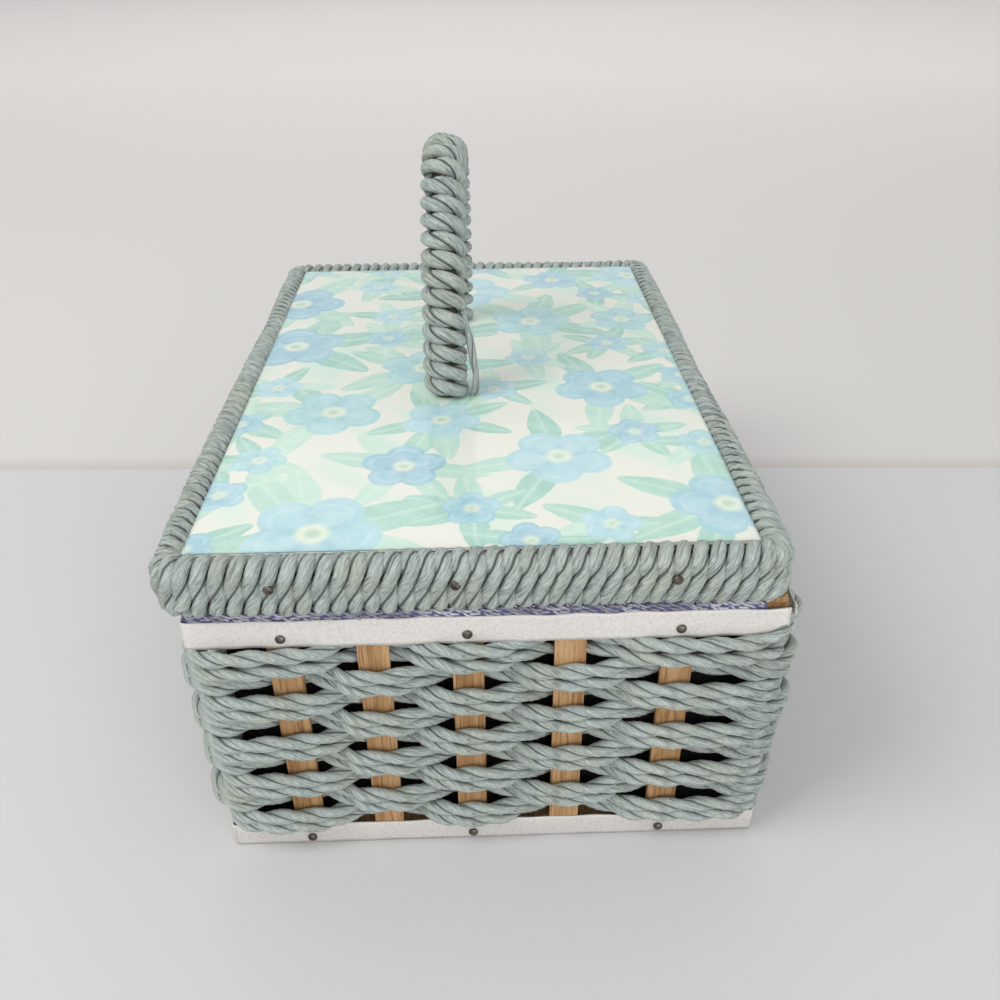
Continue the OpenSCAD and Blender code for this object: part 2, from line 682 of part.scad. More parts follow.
module latch_tacks() color("dimgray") for (y = [-bracket_tack_y, bracket_tack_y]) {
    rim_peg(3, y, pivot_z, -leaf_t - nail_head_t, nail_head_t, nail_head_r);
    rim_peg(3, y, pivot_z, -leaf_t - 0.1, tape_nail_l - over + leaf_t + 0.1, nail_r);
}

barrel_hw = loop_half_w - wire_r - 1.4;
module wire(p, q) translate(p) rotate(p[2] == q[2] ? [-90, 0, 0] : [0, 0, 0])
    cylinder(norm(q - p), wire_r, wire_r);

module latch_loop() color("gold") translate([pivot_x, 0, 0]) {
    for (z = [loop_low, pivot_z]) wire([0, -loop_half_w, z], [0, loop_half_w, z]);
    for (y = [-loop_half_w, loop_half_w]) {
        wire([0, y, loop_low], [0, y, pivot_z]);
        for (z = [loop_low, pivot_z]) translate([0, y, z]) sphere(wire_r);
    }
}

// Tray: four compartments
module tray() color("ivory") translate([0, tray_y1 - tray_l, tray_z]) difference() {
    translate([-tray_hw, 0, 0]) cube([2 * tray_hw, tray_l, tray_h]);
    left = [tray_t - tray_hw, tray_t - tray_hw + tray_bay_w];
    right = [left[1] + tray_t, tray_hw - tray_t];
    near = [tray_t, tray_t + tray_bay_l];
    far = [near[1] + tray_t, tray_l - tray_t];
    for (x = [left, right], y = [near, far]) translate([x[0], y[0], tray_t])
        cube([x[1] - x[0], y[1] - y[0], tray_h]);
}

base_board();
base_card();
satin_lining();
tray_cleats();
top_braid();
top_tape();
foot_tape();
top_tape_nails();
foot_tape_nails();
hinge_lower_leaves();
hinge_pins();
hinge_lower_tacks();
latch_stud();
for (side = [0:3]) {
    stakes(side);
    top_rail(side);
    liner_board(side);
    rim_rail(side);
}
for (row = [1:rows]) weave_row(row);
lid_board();
lid_battens();
lid_padding();
lid_printed_cover();
lid_clear_vinyl();
lid_lining();
rim_wrap();
rim_nails();
handle_core();
handle_wrap();
handle_screws();
handle_washers();
hinge_upper_leaves();
hinge_upper_tacks();
latch_bracket();
latch_tacks();
latch_loop();
tray();
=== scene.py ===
"""Looks of a woven cord sewing basket with a hinged padded lid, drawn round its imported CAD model."""
import math

import bmesh
import bpy
import numpy as np
from bpy.props import FloatProperty, FloatVectorProperty, IntProperty, PointerProperty
from mathutils import Matrix, Vector


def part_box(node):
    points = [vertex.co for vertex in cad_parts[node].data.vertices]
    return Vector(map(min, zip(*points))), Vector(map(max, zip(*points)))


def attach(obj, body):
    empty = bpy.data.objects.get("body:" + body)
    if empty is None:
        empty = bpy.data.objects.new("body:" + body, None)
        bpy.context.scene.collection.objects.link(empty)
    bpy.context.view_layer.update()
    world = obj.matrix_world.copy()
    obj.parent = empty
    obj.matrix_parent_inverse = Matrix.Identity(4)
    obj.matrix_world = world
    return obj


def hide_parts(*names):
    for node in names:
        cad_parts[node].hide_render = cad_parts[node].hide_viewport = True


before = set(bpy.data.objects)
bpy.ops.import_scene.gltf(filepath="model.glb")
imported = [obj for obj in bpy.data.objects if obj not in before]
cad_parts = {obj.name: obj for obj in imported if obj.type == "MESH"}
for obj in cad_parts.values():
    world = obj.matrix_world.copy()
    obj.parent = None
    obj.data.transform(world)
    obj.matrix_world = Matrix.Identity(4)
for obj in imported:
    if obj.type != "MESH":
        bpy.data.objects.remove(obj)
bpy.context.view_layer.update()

bl_info = {
    "name": "Woven sewing basket",
    "version": (1, 0, 0),
    "blender": (4, 5, 0),
    "location": "3D View > Sidebar > Basket",
    "description": "Builds the looks of a woven cord sewing basket round its CAD frame",
    "category": "Object",
}

MM = 0.001
SIDES = ("near", "right", "far", "left")
ROWS = sum(1 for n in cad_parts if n.startswith("weave_row_"))

# Sizes that the CAD model gives
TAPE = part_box("top_tape")
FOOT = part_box("foot_tape")
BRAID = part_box("top_braid")
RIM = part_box("rim_wrap")
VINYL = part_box("lid_clear_vinyl")
PANEL_Z = VINYL[1].z
LID_X = (VINYL[0].x + VINYL[1].x) / 2
PANEL_HW = (VINYL[1].x - VINYL[0].x) / 2
PANEL_HL = VINYL[1].y
CORD_T = 4.8 * MM
CAD_SWING = 3.61 * MM
WEAVE_CORNER = 9 * MM

# Edges flatter than the first angle are dissolved, those sharper than the second rounded
FLAT_ANGLE = math.radians(1.5)
HARD_ANGLE = math.radians(28)
WELD = 1e-6

# Where the floor's paler half begins, behind the basket
WALL_FACING = (0.0403, 0.9992, 0)
WALL_AWAY = 133.7 * MM

# The camera, solved from the photograph
CAMERA_AT = (-0.0039, -0.3759, 0.2841)
CAMERA_PITCH, CAMERA_YAW, CAMERA_ROLL = 0.541, 0.029, -0.008
CAMERA_LENS, CAMERA_SENSOR = 34.78, 36.0

# Each light's name, place, target, width, energy and colour
LIGHTS = (("key", (-0.85, -0.45, 1.15), (0, 0, 0.08), 0.7, 9, (1.0, 0.985, 0.96)),
          ("fill", (0.4, -1.2, 0.34), (0, 0, 0.08), 1.0, 8, (1.0, 0.99, 0.98)),
          ("back", (0, 2.6, 2.2), (0, 2.61, 0), 3.0, 16, (1.0, 0.98, 0.95)))
SKY, SKY_STRENGTH = (0.985, 0.99, 1.0, 1), 0.64
FLOOR_HALF = 6.0

# The handle's arch, as its feet, rise and bend
ARCH_SPAN = 42 * MM
ARCH_RISE = 82 * MM
ARCH_BEND = math.radians(35)
ARCH_GAP = (ARCH_RISE - ARCH_SPAN) / (math.sin(ARCH_BEND) + math.cos(ARCH_BEND) - 1)
ARCH_TOP_R = ARCH_RISE - ARCH_GAP * math.sin(ARCH_BEND)
ARCH_LEG_R = ARCH_GAP + ARCH_TOP_R
ARCH_LEG = ARCH_LEG_R * ARCH_BEND
ARCH_LEN = 2 * ARCH_LEG + ARCH_TOP_R * (math.pi - 2 * ARCH_BEND)
HANDLE_AT = (LID_X - 8 * MM, 16 * MM)
HANDLE_YAW = math.radians(1.5)
CORE_R = 4.8 * MM

# Twists of the cord in each of its turns, so that the plies lie alike from turn to turn
RIM_TWISTS, HANDLE_TWISTS = 1.512, 1.52

# How far from a shape's edge the print's layers still tell inside from outside
PRINT_REACH = 4 * MM


class BasketSizes(bpy.types.PropertyGroup):
    """Sizes of the basket's cords, cloth and trim"""
    lay: FloatProperty(name="Cord lay", description="Length of one full twist of the weaving cord",
                       default=0.0234, min=0.012, max=0.05, unit="LENGTH")
    ply: FloatProperty(name="Ply radius", description="Radius of each of a cord's two plies",
                       default=0.00178, min=0.001, max=0.0025, unit="LENGTH")
    ply_offset: FloatProperty(name="Ply offset", description="How far each ply stands from the cord's middle",
                              default=0.00098, min=0.0004, max=0.002, unit="LENGTH")
    swing: FloatProperty(name="Weave swing", description="How far a row swings out round a stake",
                         default=0.0038, min=0.002, max=0.0045, unit="LENGTH")
    rim_pitch: FloatProperty(name="Rim wrap pitch", description="Distance between turns of the rim's wrap",
                             default=0.0051, min=0.004, max=0.008, unit="LENGTH")
    wrap_ply: FloatProperty(name="Wrap ply radius",
                            description="Radius of the plies of the cord round rim and handle",
                            default=0.0024, min=0.001, max=0.003, unit="LENGTH")
    handle_turns: IntProperty(name="Handle turns", description="Turns of cord round the handle",
                              default=29, min=12, max=32)
    crown: FloatProperty(name="Lid crown", description="Height that the padding lifts the lid's middle",
                         default=0.0009, min=0, max=0.003, unit="LENGTH")
    quilt: FloatProperty(name="Quilt depth", description="Depth of the quilting under the lid",
                         default=0.0017, min=0.0005, max=0.003, unit="LENGTH")
    nail: FloatProperty(name="Nail head radius", description="Radius of the tape nails' heads",
                        default=0.00165, min=0.001, max=0.003, unit="LENGTH")


def colour(name, description, value):
    return FloatVectorProperty(name=name, description=description, default=value, min=0, max=1, size=3,
                               subtype="COLOR")


class BasketColours(bpy.types.PropertyGroup):
    """Colours of the basket's materials"""
    body_light: colour("Body cord, light", "Crest colour of the weaving cord", (0.42, 0.485, 0.465))
    # The dark cord colours are the painted shade in the cords' grooves and crinkles, and the dark of their
    # random fibre streaks.
    body_dark: colour("Body cord, dark", "Crease colour of the weaving cord", (0.07, 0.095, 0.095))
    rim_light: colour("Rim cord, light", "Crest colour of the rim's and handle's cord", (0.395, 0.465, 0.445))
    rim_dark: colour("Rim cord, dark", "Crease colour of the rim's and handle's cord", (0.045, 0.06, 0.055))
    wood_light: colour("Wood, light", "Pale grain of the stakes and rails", (0.50, 0.31, 0.155))
    wood_dark: colour("Wood, dark", "Dark grain of the stakes and rails", (0.34, 0.18, 0.075))
    satin: colour("Satin", "Colour of the satin lining", (0.46, 0.46, 0.70))
    tape: colour("Tape", "Colour of the pearly tapes", (0.64, 0.615, 0.585))
    braid: colour("Braid", "Colour of the metallic braid", (0.50, 0.50, 0.62))
    tray: colour("Tray", "Colour of the tray's plastic", (0.82, 0.76, 0.60))


# Meshes

def link(name, mesh):
    obj = bpy.data.objects.new(name, mesh)
    bpy.context.scene.collection.objects.link(obj)
    return obj


def smooth(mesh):
    mesh.polygons.foreach_set("use_smooth", [True] * len(mesh.polygons))
    mesh.update()


def baked(obj):
    """The evaluated shape becomes a plain mesh, and the modifiers go."""
    bpy.context.view_layer.update()
    graph = bpy.context.evaluated_depsgraph_get()
    mesh = bpy.data.meshes.new_from_object(obj.evaluated_get(graph), preserve_all_data_layers=True,
                                           depsgraph=graph)
    obj.modifiers.clear()
    obj.data = mesh
    mesh.name = obj.name
    return obj


def finish_piece(obj, body, look, replaces=(), shade=True):
    """Gives a piece its material and body, and hides the CAD nodes that it stands for."""
    obj.data.materials.clear()
    obj.data.materials.append(look)
    if shade:
        smooth(obj.data)
    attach(obj, body)
    if replaces:
        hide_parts(*replaces)
    return obj


def line_mesh(name, lines, facings, closed):
    """Paths as edges, each point with the outward direction of what it lies on."""
    verts, edges = [], []
    for line in lines:
        start = len(verts)
        verts += [tuple(p) for p in line]
        edges += [(i, i + 1) for i in range(start, len(verts) - 1)]
        if closed:
            edges.append((len(verts) - 1, start))
    mesh = bpy.data.meshes.new(name)
    mesh.from_pydata(verts, edges, [])
    facing = mesh.attributes.new("facing", "FLOAT_VECTOR", "POINT")
    facing.data.foreach_set("vector", np.concatenate(facings).astype(np.float32).ravel())
    return mesh


def grid_mesh(name, p, around=False, flip=False):
    """A surface through rows and columns of points."""
    nu, nv = p.shape[:2]
    i, j = np.meshgrid(np.arange(nu if around else nu - 1), np.arange(nv - 1), indexing="ij")
    a, b = i * nv + j, (i + 1) % nu * nv + j
    quads = np.stack([a, b, b + 1, a + 1], -1).reshape(-1, 4)
    if flip:
        quads = quads[:, ::-1]
    mesh = bpy.data.meshes.new(name)
    mesh.from_pydata(p.reshape(-1, 3).tolist(), [], quads.tolist())
    return mesh


def box_mesh(name, x, y, top, bottom):
    """A pad over a rectangle, its top and bottom heights given at each point of a grid."""
    nx, ny = len(x), len(y)
    n = nx * ny
    gx, gy = np.meshgrid(x, y, indexing="ij")
    verts = np.concatenate([np.stack([gx, gy, z], -1).reshape(-1, 3) for z in (top, bottom)])
    i, j = np.meshgrid(np.arange(nx - 1), np.arange(ny - 1), indexing="ij")
    a = (i * ny + j).ravel()
    up = np.stack([a, a + ny, a + ny + 1, a + 1], -1)
    faces = [up, up[:, ::-1] + n]
    rim = ([i * ny for i in range(nx)] + [(nx - 1) * ny + j for j in range(1, ny)]
           + [i * ny + ny - 1 for i in range(nx - 2, -1, -1)] + [j for j in range(ny - 2, 0, -1)])
    rim = np.array(rim)
    nxt = np.roll(rim, -1)
    faces.append(np.stack([rim, rim + n, nxt + n, nxt], -1))
    mesh = bpy.data.meshes.new(name)
    mesh.from_pydata(verts.tolist(), [], np.concatenate(faces).tolist())
    return mesh


def welded(mesh):
    bm = bmesh.new()
    bm.from_mesh(mesh)
    bmesh.ops.remove_doubles(bm, verts=bm.verts, dist=WELD)
    return bm


def softened(node, body, look, width, segments=2):
    """A copy of a CAD node with its hard edges rounded by a width in millimetres, standing for it."""
    bm = welded(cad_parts[node].data)
    bmesh.ops.dissolve_limit(bm, angle_limit=FLAT_ANGLE, verts=bm.verts, edges=bm.edges)
    hard = [e for e in bm.edges if len(e.link_faces) == 2 and e.calc_face_angle(0) > HARD_ANGLE]
    bmesh.ops.bevel(bm, geom=hard, offset=width * MM, offset_type="OFFSET", segments=segments, profile=0.5,
                    affect="EDGES", clamp_overlap=True)
    bmesh.ops.recalc_face_normals(bm, faces=bm.faces)
    mesh = bpy.data.meshes.new(node + "_piece")
    bm.to_mesh(mesh)
    bm.free()
    obj = link(node + "_piece", mesh)
    finish_piece(obj, body, look, [node])
    weighted = obj.modifiers.new("Weighted normals", "WEIGHTED_NORMAL")
    weighted.keep_sharp = False
    baked(obj)


def dressed(node, look):
    """A CAD node that stays, with a better material."""
    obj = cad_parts[node]
    if not obj.material_slots:
        obj.data.materials.append(look)
    for one in obj.material_slots:
        one.material = look


def islands(node):
    """The boxes of a node's separate solids."""
    bm = welded(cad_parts[node].data)
    seen, found = set(), []
    for v in bm.verts:
        if v.index in seen:
            continue
        seen.add(v.index)
        todo, part = [v], []
        while todo:
            w = todo.pop()
            part.append(w.co.copy())
            for e in w.link_edges:
                o = e.other_vert(w)
                if o.index not in seen:
                    seen.add(o.index)
                    todo.append(o)
        co = np.array(part)
        found.append((co.min(0), co.max(0)))
    bm.free()
    return found


def ripple(s, period, seed, slow, fast, waves=6):
    """A smooth wander that closes on itself, about 1 at most."""
    rng = np.random.default_rng(seed)
    out = np.zeros_like(s)
    for _ in range(waves):
        out += np.sin(2 * np.pi * rng.integers(slow, fast) * s / period + rng.uniform(0, 2 * np.pi))
    return out / waves ** 0.5 / 1.4


class Loop:
    """A rounded rectangle, walked from the near side's left end, near, right, far, left."""

    def __init__(self, hw, hl, r, cx=0.0, corner_gain=1.0):
        self.hw, self.hl, self.r, self.cx = hw, hl, r, cx
        w, l, q = 2 * (hw - r), 2 * (hl - r), math.pi / 2 * r * corner_gain
        self.parts = [w, q, l, q, w, q, l, q]
        self.starts = np.concatenate([[0], np.cumsum(self.parts)])
        self.length = self.starts[-1]

    def at(self, s):
        s = np.asarray(s) % self.length
        part = np.clip(np.searchsorted(self.starts, s, side="right") - 1, 0, 7)
        t = (s - self.starts[part]) / np.array(self.parts)[part]
        side = part // 2
        corner = part % 2 == 1
        hw, hl = np.where(side % 2 == 0, self.hw, self.hl), np.where(side % 2 == 0, self.hl, self.hw)
        a = np.where(corner, t * np.pi / 2, 0)
        x = np.where(corner, hw - self.r + self.r * np.sin(a), (2 * t - 1) * (hw - self.r))
        y = -np.where(corner, hl - self.r + self.r * np.cos(a), hl)
        nx, ny = np.sin(a), -np.cos(a)
        turn = side * np.pi / 2
        c, d = np.cos(turn), np.sin(turn)
        return x * c - y * d + self.cx, x * d + y * c, nx * c - ny * d, nx * d + ny * c

    def place(self, side, pos):
        """The length walked to a point of a side, where pos is its x or y."""
        along = pos - (self.cx if side % 2 == 0 else 0)
        along = along if side < 2 else -along
        return self.starts[2 * side] + along + self.parts[2 * side] / 2


# Node trees

class Nodes:
    def __init__(self, tree):
        self.tree = tree

    def add(self, kind, inputs=None, out=0, **props):
        """A node with its inputs linked or set, as its output or, without one, as the node itself."""
        node = self.tree.nodes.new(kind)
        for key, value in props.items():
            setattr(node, key, value)
        for key, value in (inputs or {}).items():
            socket = node.inputs[key]
            if isinstance(value, bpy.types.NodeSocket):
                self.tree.links.new(value, socket)
            else:
                socket.default_value = value
        return node if out is None else node.outputs[out]

    def math(self, op, a, b=None):
        return self.add("ShaderNodeMath", {0: a} if b is None else {0: a, 1: b}, operation=op)

    def vec(self, op, a, b, out=0):
        return self.add("ShaderNodeVectorMath", {0: a, 1: b}, out=out, operation=op)

    def mul(self, a, b):
        return self.math("MULTIPLY", a, b)

    def sum(self, a, b):
        return self.math("ADD", a, b)

    def sub(self, a, b):
        return self.math("SUBTRACT", a, b)

    def split(self, vector):
        return self.add("ShaderNodeSeparateXYZ", {0: vector}, out=None).outputs

    def join(self, *xyz):
        return self.add("ShaderNodeCombineXYZ", dict(enumerate(xyz)))

    def mix(self, factor, a, b):
        return self.add("ShaderNodeMix", {0: factor, 6: a, 7: b}, out=2, data_type="RGBA")

    def ramp(self, value, low, high, to_low=0.0, to_high=1.0):
        return self.add("ShaderNodeMapRange", {0: value, 1: low, 2: high, 3: to_low, 4: to_high},
                        interpolation_type="SMOOTHSTEP")

    def noise(self, vector, scale, detail, rough=0.5):
        return self.add("ShaderNodeTexNoise", {"Vector": vector, "Scale": scale, "Detail": detail,
                                               "Roughness": rough})


def new_tree(name, kind, inputs, outputs):
    tree = bpy.data.node_groups.new(name, kind)
    for label, socket, value in inputs:
        made = tree.interface.new_socket(label, in_out="INPUT", socket_type="NodeSocket" + socket)
        if value is not None:
            made.default_value = value
    for label, socket in outputs:
        tree.interface.new_socket(label, in_out="OUTPUT", socket_type="NodeSocket" + socket)
    n = Nodes(tree)
    return tree, n, n.add("NodeGroupInput", out=None).outputs


def shape_tree(name, inputs):
    return new_tree(name, "GeometryNodeTree", [("Geometry", "Geometry", None), *inputs,
                                               ("Material", "Material", None)], [("Geometry", "Geometry")])


def end_shape(n, geometry, material):
    shape = n.add("GeometryNodeRealizeInstances", {0: geometry})
    shape = n.add("GeometryNodeSetMaterial", {"Geometry": shape, "Material": material})
    n.add("NodeGroupOutput", {0: shape}, out=None)


def facing_direction(n):
    return n.add("GeometryNodeInputNamedAttribute", {"Name": "facing"}, data_type="FLOAT_VECTOR")


TREES = {}


def shared(maker):
    """A maker's node tree, made when it is first asked for."""
    if maker not in TREES:
        TREES[maker] = maker()
    return TREES[maker]


def grown(name, mesh, maker, values, body, replaces=()):
    """A piece made by a node tree from a mesh of points or paths."""
    obj = link(name, mesh)
    mod = obj.modifiers.new("Shape", "NODES")
    mod.node_group = shared(maker)
    ids = {s.name: s.identifier for s in mod.node_group.interface.items_tree
           if s.item_type == "SOCKET" and s.in_out == "INPUT"}
    for key, value in values.items():
        mod[ids[key]] = value
    baked(obj)
    return finish_piece(obj, body, values["Material"], replaces)


def laid_cord_tree():
    """Two plies twisted round each other along a path."""
    tree, n, i = shape_tree("Laid cord", [("Turns", "Float", 40.0), ("Ply Radius", "Float", 0.0018),
                                          ("Ply Offset", "Float", 0.001), ("Step", "Float", 0.0012)])
    curve = n.add("GeometryNodeMeshToCurve", {0: i["Geometry"]})
    curve = n.add("GeometryNodeResampleCurve", {"Curve": curve, "Length": i["Step"]}, mode="LENGTH")
    along = n.add("GeometryNodeSplineParameter", out=None).outputs
    rest = n.sub(n.add("GeometryNodeSplineLength"), along["Length"])
    curve = n.add("GeometryNodeStoreNamedAttribute", {"Geometry": curve, "Name": "along",
                  "Value": n.math("MINIMUM", along["Length"], rest)}, data_type="FLOAT", domain="POINT")
    angle = n.mul(n.mul(along["Factor"], i["Turns"]), 2 * math.pi)
    tangent = n.add("GeometryNodeInputTangent")
    facing = n.add("ShaderNodeVectorRotate", {"Vector": facing_direction(n), "Axis": tangent, "Angle": angle},
                   rotation_type="AXIS_ANGLE")
    curve = n.add("GeometryNodeSetCurveNormal", {"Curve": curve, "Normal": facing}, mode="FREE")
    ring = n.add("GeometryNodeCurvePrimitiveCircle", {"Resolution": 12, "Radius": 1.0})
    place = n.add("GeometryNodeInputPosition")
    ring = n.add("GeometryNodeStoreNamedAttribute", {"Geometry": ring, "Name": "ring", "Value": place},
                 data_type="FLOAT_VECTOR", domain="POINT")
    xyz = n.split(place)
    c, r = i["Ply Offset"], i["Ply Radius"]
    lobe = n.mul(c, n.math("ABSOLUTE", xyz[0]))
    waist = n.mul(c, xyz[1])
    waist = n.math("SQRT", n.sub(n.mul(r, r), n.mul(waist, waist)))
    ring = n.add("GeometryNodeSetPosition", {"Geometry": ring, "Position": n.add(
        "ShaderNodeVectorMath", {0: place, "Scale": n.sum(lobe, waist)}, operation="SCALE")})
    shape = n.add("GeometryNodeCurveToMesh", {"Curve": curve, "Profile Curve": ring, "Fill Caps": True})
    end_shape(n, shape, i["Material"])
    return tree


def cord(name, lines, facings, turns, ply, offset, step, look, body, replaces=(), closed=False):
    """A piece of laid cord along each path."""
    grown(name, line_mesh("path", lines, facings, closed), laid_cord_tree,
          {"Turns": turns, "Ply Radius": ply, "Ply Offset": offset, "Step": step, "Material": material(look)},
          body, replaces)


def nail_tree():
    """A domed nail head on a short shank at each point."""
    tree, n, i = shape_tree("Domed nails", [("Head Radius", "Float", 0.0016), ("Head Height", "Float", 0.45),
                                            ("Shank Length", "Float", 0.004)])
    head = n.add("GeometryNodeMeshUVSphere", {"Segments": 14, "Rings": 8, "Radius": i["Head Radius"]})
    scale = n.join(1.0, 1.0, i["Head Height"])
    head = n.add("GeometryNodeTransform", {"Geometry": head, "Scale": scale})
    shank = n.add("GeometryNodeMeshCylinder", {"Vertices": 8, "Depth": i["Shank Length"],
                                               "Radius": n.mul(i["Head Radius"], 0.38)})
    drop = n.join(0.0, 0.0, n.mul(i["Shank Length"], -0.5))
    shank = n.add("GeometryNodeTransform", {"Geometry": shank, "Translation": drop})
    joined = n.add("GeometryNodeJoinGeometry", out=None)
    tree.links.new(head, joined.inputs[0])
    tree.links.new(shank, joined.inputs[0])
    turn = n.add("FunctionNodeAlignRotationToVector", {"Vector": facing_direction(n)}, axis="Z")
    nails = n.add("GeometryNodeInstanceOnPoints", {"Points": i["Geometry"], "Instance": joined.outputs[0],
                                                   "Rotation": turn})
    end_shape(n, nails, i["Material"])
    return tree


def braid_tree():
    """Short slanted loops of thread side by side along a path, leaning left and right in turn."""
    tree, n, i = shape_tree("Plaited braid", [
        ("Pitch", "Float", 0.0022), ("Loop Length", "Float", 0.003), ("Loop Width", "Float", 0.0013),
        ("Loop Height", "Float", 0.0008), ("Slant", "Float", 0.6)])
    curve = n.add("GeometryNodeMeshToCurve", {0: i["Geometry"]})
    curve = n.add("GeometryNodeResampleCurve", {"Curve": curve, "Length": i["Pitch"]}, mode="LENGTH")
    loop = n.add("GeometryNodeMeshUVSphere", {"Segments": 8, "Rings": 5, "Radius": 1.0})
    size = n.join(i["Loop Width"], i["Loop Length"], i["Loop Height"])
    loop = n.add("GeometryNodeTransform", {"Geometry": loop, "Scale": size})
    turn = n.add("FunctionNodeAlignRotationToVector", {"Vector": facing_direction(n)}, axis="Z")
    turn = n.add("FunctionNodeAlignRotationToVector", {"Rotation": turn,
                 "Vector": n.add("GeometryNodeInputTangent")}, axis="X", pivot_axis="Z")
    lean = n.join(0.0, 0.0, i["Slant"])
    turn = n.add("FunctionNodeRotateRotation", {"Rotation": turn, "Rotate By": lean}, rotation_space="LOCAL")
    loops = n.add("GeometryNodeInstanceOnPoints", {"Points": curve, "Instance": loop, "Rotation": turn})
    end_shape(n, loops, i["Material"])
    return tree


# Shader effects that several materials share

def wood_group():
    tree, n, i = new_tree("Wood grain", "ShaderNodeTree", [
        ("Stretch", "Vector", (1.0, 1.0, 0.06)), ("Light", "Color", (0.7, 0.5, 0.3, 1)),
        ("Dark", "Color", (0.4, 0.2, 0.1, 1))],
        [("Color", "Color"), ("Roughness", "Float"), ("Height", "Float")])
    place = n.vec("MULTIPLY", n.add("ShaderNodeTexCoord", out=3), i["Stretch"])
    broad = n.noise(place, 240, 2)
    fine = n.noise(place, 1500, 4, 0.6)
    streak = n.ramp(n.sum(n.mul(broad, 0.6), n.mul(fine, 0.4)), 0.36, 0.64)
    pores = n.ramp(fine, 0.36, 0.46)
    tone = n.mix(streak, i["Dark"], i["Light"])
    tone = n.mix(n.sub(1.0, pores), tone, n.mix(0.25, i["Dark"], (0.05, 0.02, 0.01, 1)))
    height = n.sum(n.mul(fine, 0.7), n.mul(pores, 0.3))
    n.add("NodeGroupOutput", {0: tone, 1: n.ramp(streak, 0, 1, 0.72, 0.55), 2: height}, out=None)
    return tree


def cord_group():
    tree, n, i = new_tree("Twisted paper cord", "ShaderNodeTree", [
        ("Crest", "Color", (0.5, 0.6, 0.58, 1)), ("Crease", "Color", (0.15, 0.2, 0.2, 1)),
        ("Olive", "Color", (0.5, 0.5, 0.4, 1))],
        [("Color", "Color"), ("Roughness", "Float"), ("Height", "Float")])
    ring = n.add("ShaderNodeAttribute", out=1, attribute_name="ring")
    along = n.add("ShaderNodeAttribute", out=2, attribute_name="along")
    xyz = n.split(ring)
    far = n.mul(along, 60)
    fibre = n.noise(n.join(xyz[0], xyz[1], far), 9, 4, 0.6)
    crinkle = n.noise(n.join(n.mul(xyz[0], 3.0), n.mul(xyz[1], 3.0), far), 3.0, 3, 0.55)
    blotch = n.noise(n.add("ShaderNodeTexCoord", out=3), 55, 2)
    # groove_shade is 0 in the groove between the two plies. There, and along the crinkle lines, the tone goes
    # to the crease colour as painted shade. The fibre streaks' darker tone is random.
    groove_shade = n.ramp(n.math("ABSOLUTE", xyz[0]), 0.0, 0.3)
    lines = n.ramp(crinkle, 0.34, 0.42)
    tone = n.mix(n.ramp(blotch, 0.35, 0.7), i["Crest"], i["Olive"])
    tone = n.mix(n.ramp(fibre, 0.35, 0.66), n.mix(0.38, tone, i["Crease"]),
                 n.mix(0.2, tone, (0.85, 0.92, 0.92, 1)))
    tone = n.mix(n.mul(n.sub(1.0, lines), 0.6), tone, i["Crease"])
    tone = n.mix(n.sub(1.0, groove_shade), tone, i["Crease"])
    height = n.sum(n.mul(fibre, 0.6), n.mul(lines, 0.4))
    n.add("NodeGroupOutput", {0: tone, 1: n.ramp(fibre, 0.3, 0.7, 0.62, 0.85), 2: height}, out=None)
    return tree


def weave_group():
    tree, n, i = new_tree("Fine weave", "ShaderNodeTree", [
        ("Vector", "Vector", (0, 0, 0)), ("Threads", "Float", 1800.0)], [("Height", "Float")])
    xyz = n.split(i["Vector"])
    waves = n.mul(i["Threads"], math.pi)
    a, b = (n.math("ABSOLUTE", n.math("SINE", n.mul(xyz[k], waves))) for k in (0, 1))
    n.add("NodeGroupOutput", {0: n.math("MAXIMUM", a, b)}, out=None)
    return tree


def wear_group():
    tree, n, i = new_tree("Handling wear", "ShaderNodeTree", [
        ("Scale", "Float", 60.0), ("Amount", "Float", 0.5)], [("Mask", "Float"), ("Scratch", "Float")])
    place = n.add("ShaderNodeTexCoord", out=3)
    cloud = n.ramp(n.noise(place, i["Scale"], 5, 0.6), 0.42, 0.7)
    scratch = n.ramp(n.noise(n.vec("MULTIPLY", place, (1, 0.12, 1)), 1400, 2), 0.6, 0.72)
    n.add("NodeGroupOutput", {0: n.mul(cloud, i["Amount"]),
                              1: n.mul(scratch, i["Amount"])}, out=None)
    return tree


def group(n, maker, inputs):
    """The outputs of an effect that several materials share."""
    return n.add("ShaderNodeGroup", inputs, out=None, node_tree=shared(maker)).outputs


def rgba(c, k=1.0):
    """A colour with alpha, made lighter or darker by k."""
    return (*(min(1.0, v * k) for v in c[:3]), 1.0)


MATERIALS = {}


def material(name):
    if name not in MATERIALS:
        MATERIALS[name] = new_material(name)
    return MATERIALS[name]


def surface(n, color, rough, height=None, distance=0.0002, strength=1.0, **values):
    """The Principled shader with the values that are the same all over the piece."""
    ins = {"Base Color": color, "Roughness": rough}
    if height is not None:
        ins["Normal"] = n.add("ShaderNodeBump",
                              {"Strength": strength, "Distance": distance, "Height": height})
    ins.update({key.replace("_", " "): value for key, value in values.items()})
    n.add("ShaderNodeOutputMaterial", {0: n.add("ShaderNodeBsdfPrincipled", ins)}, out=None)


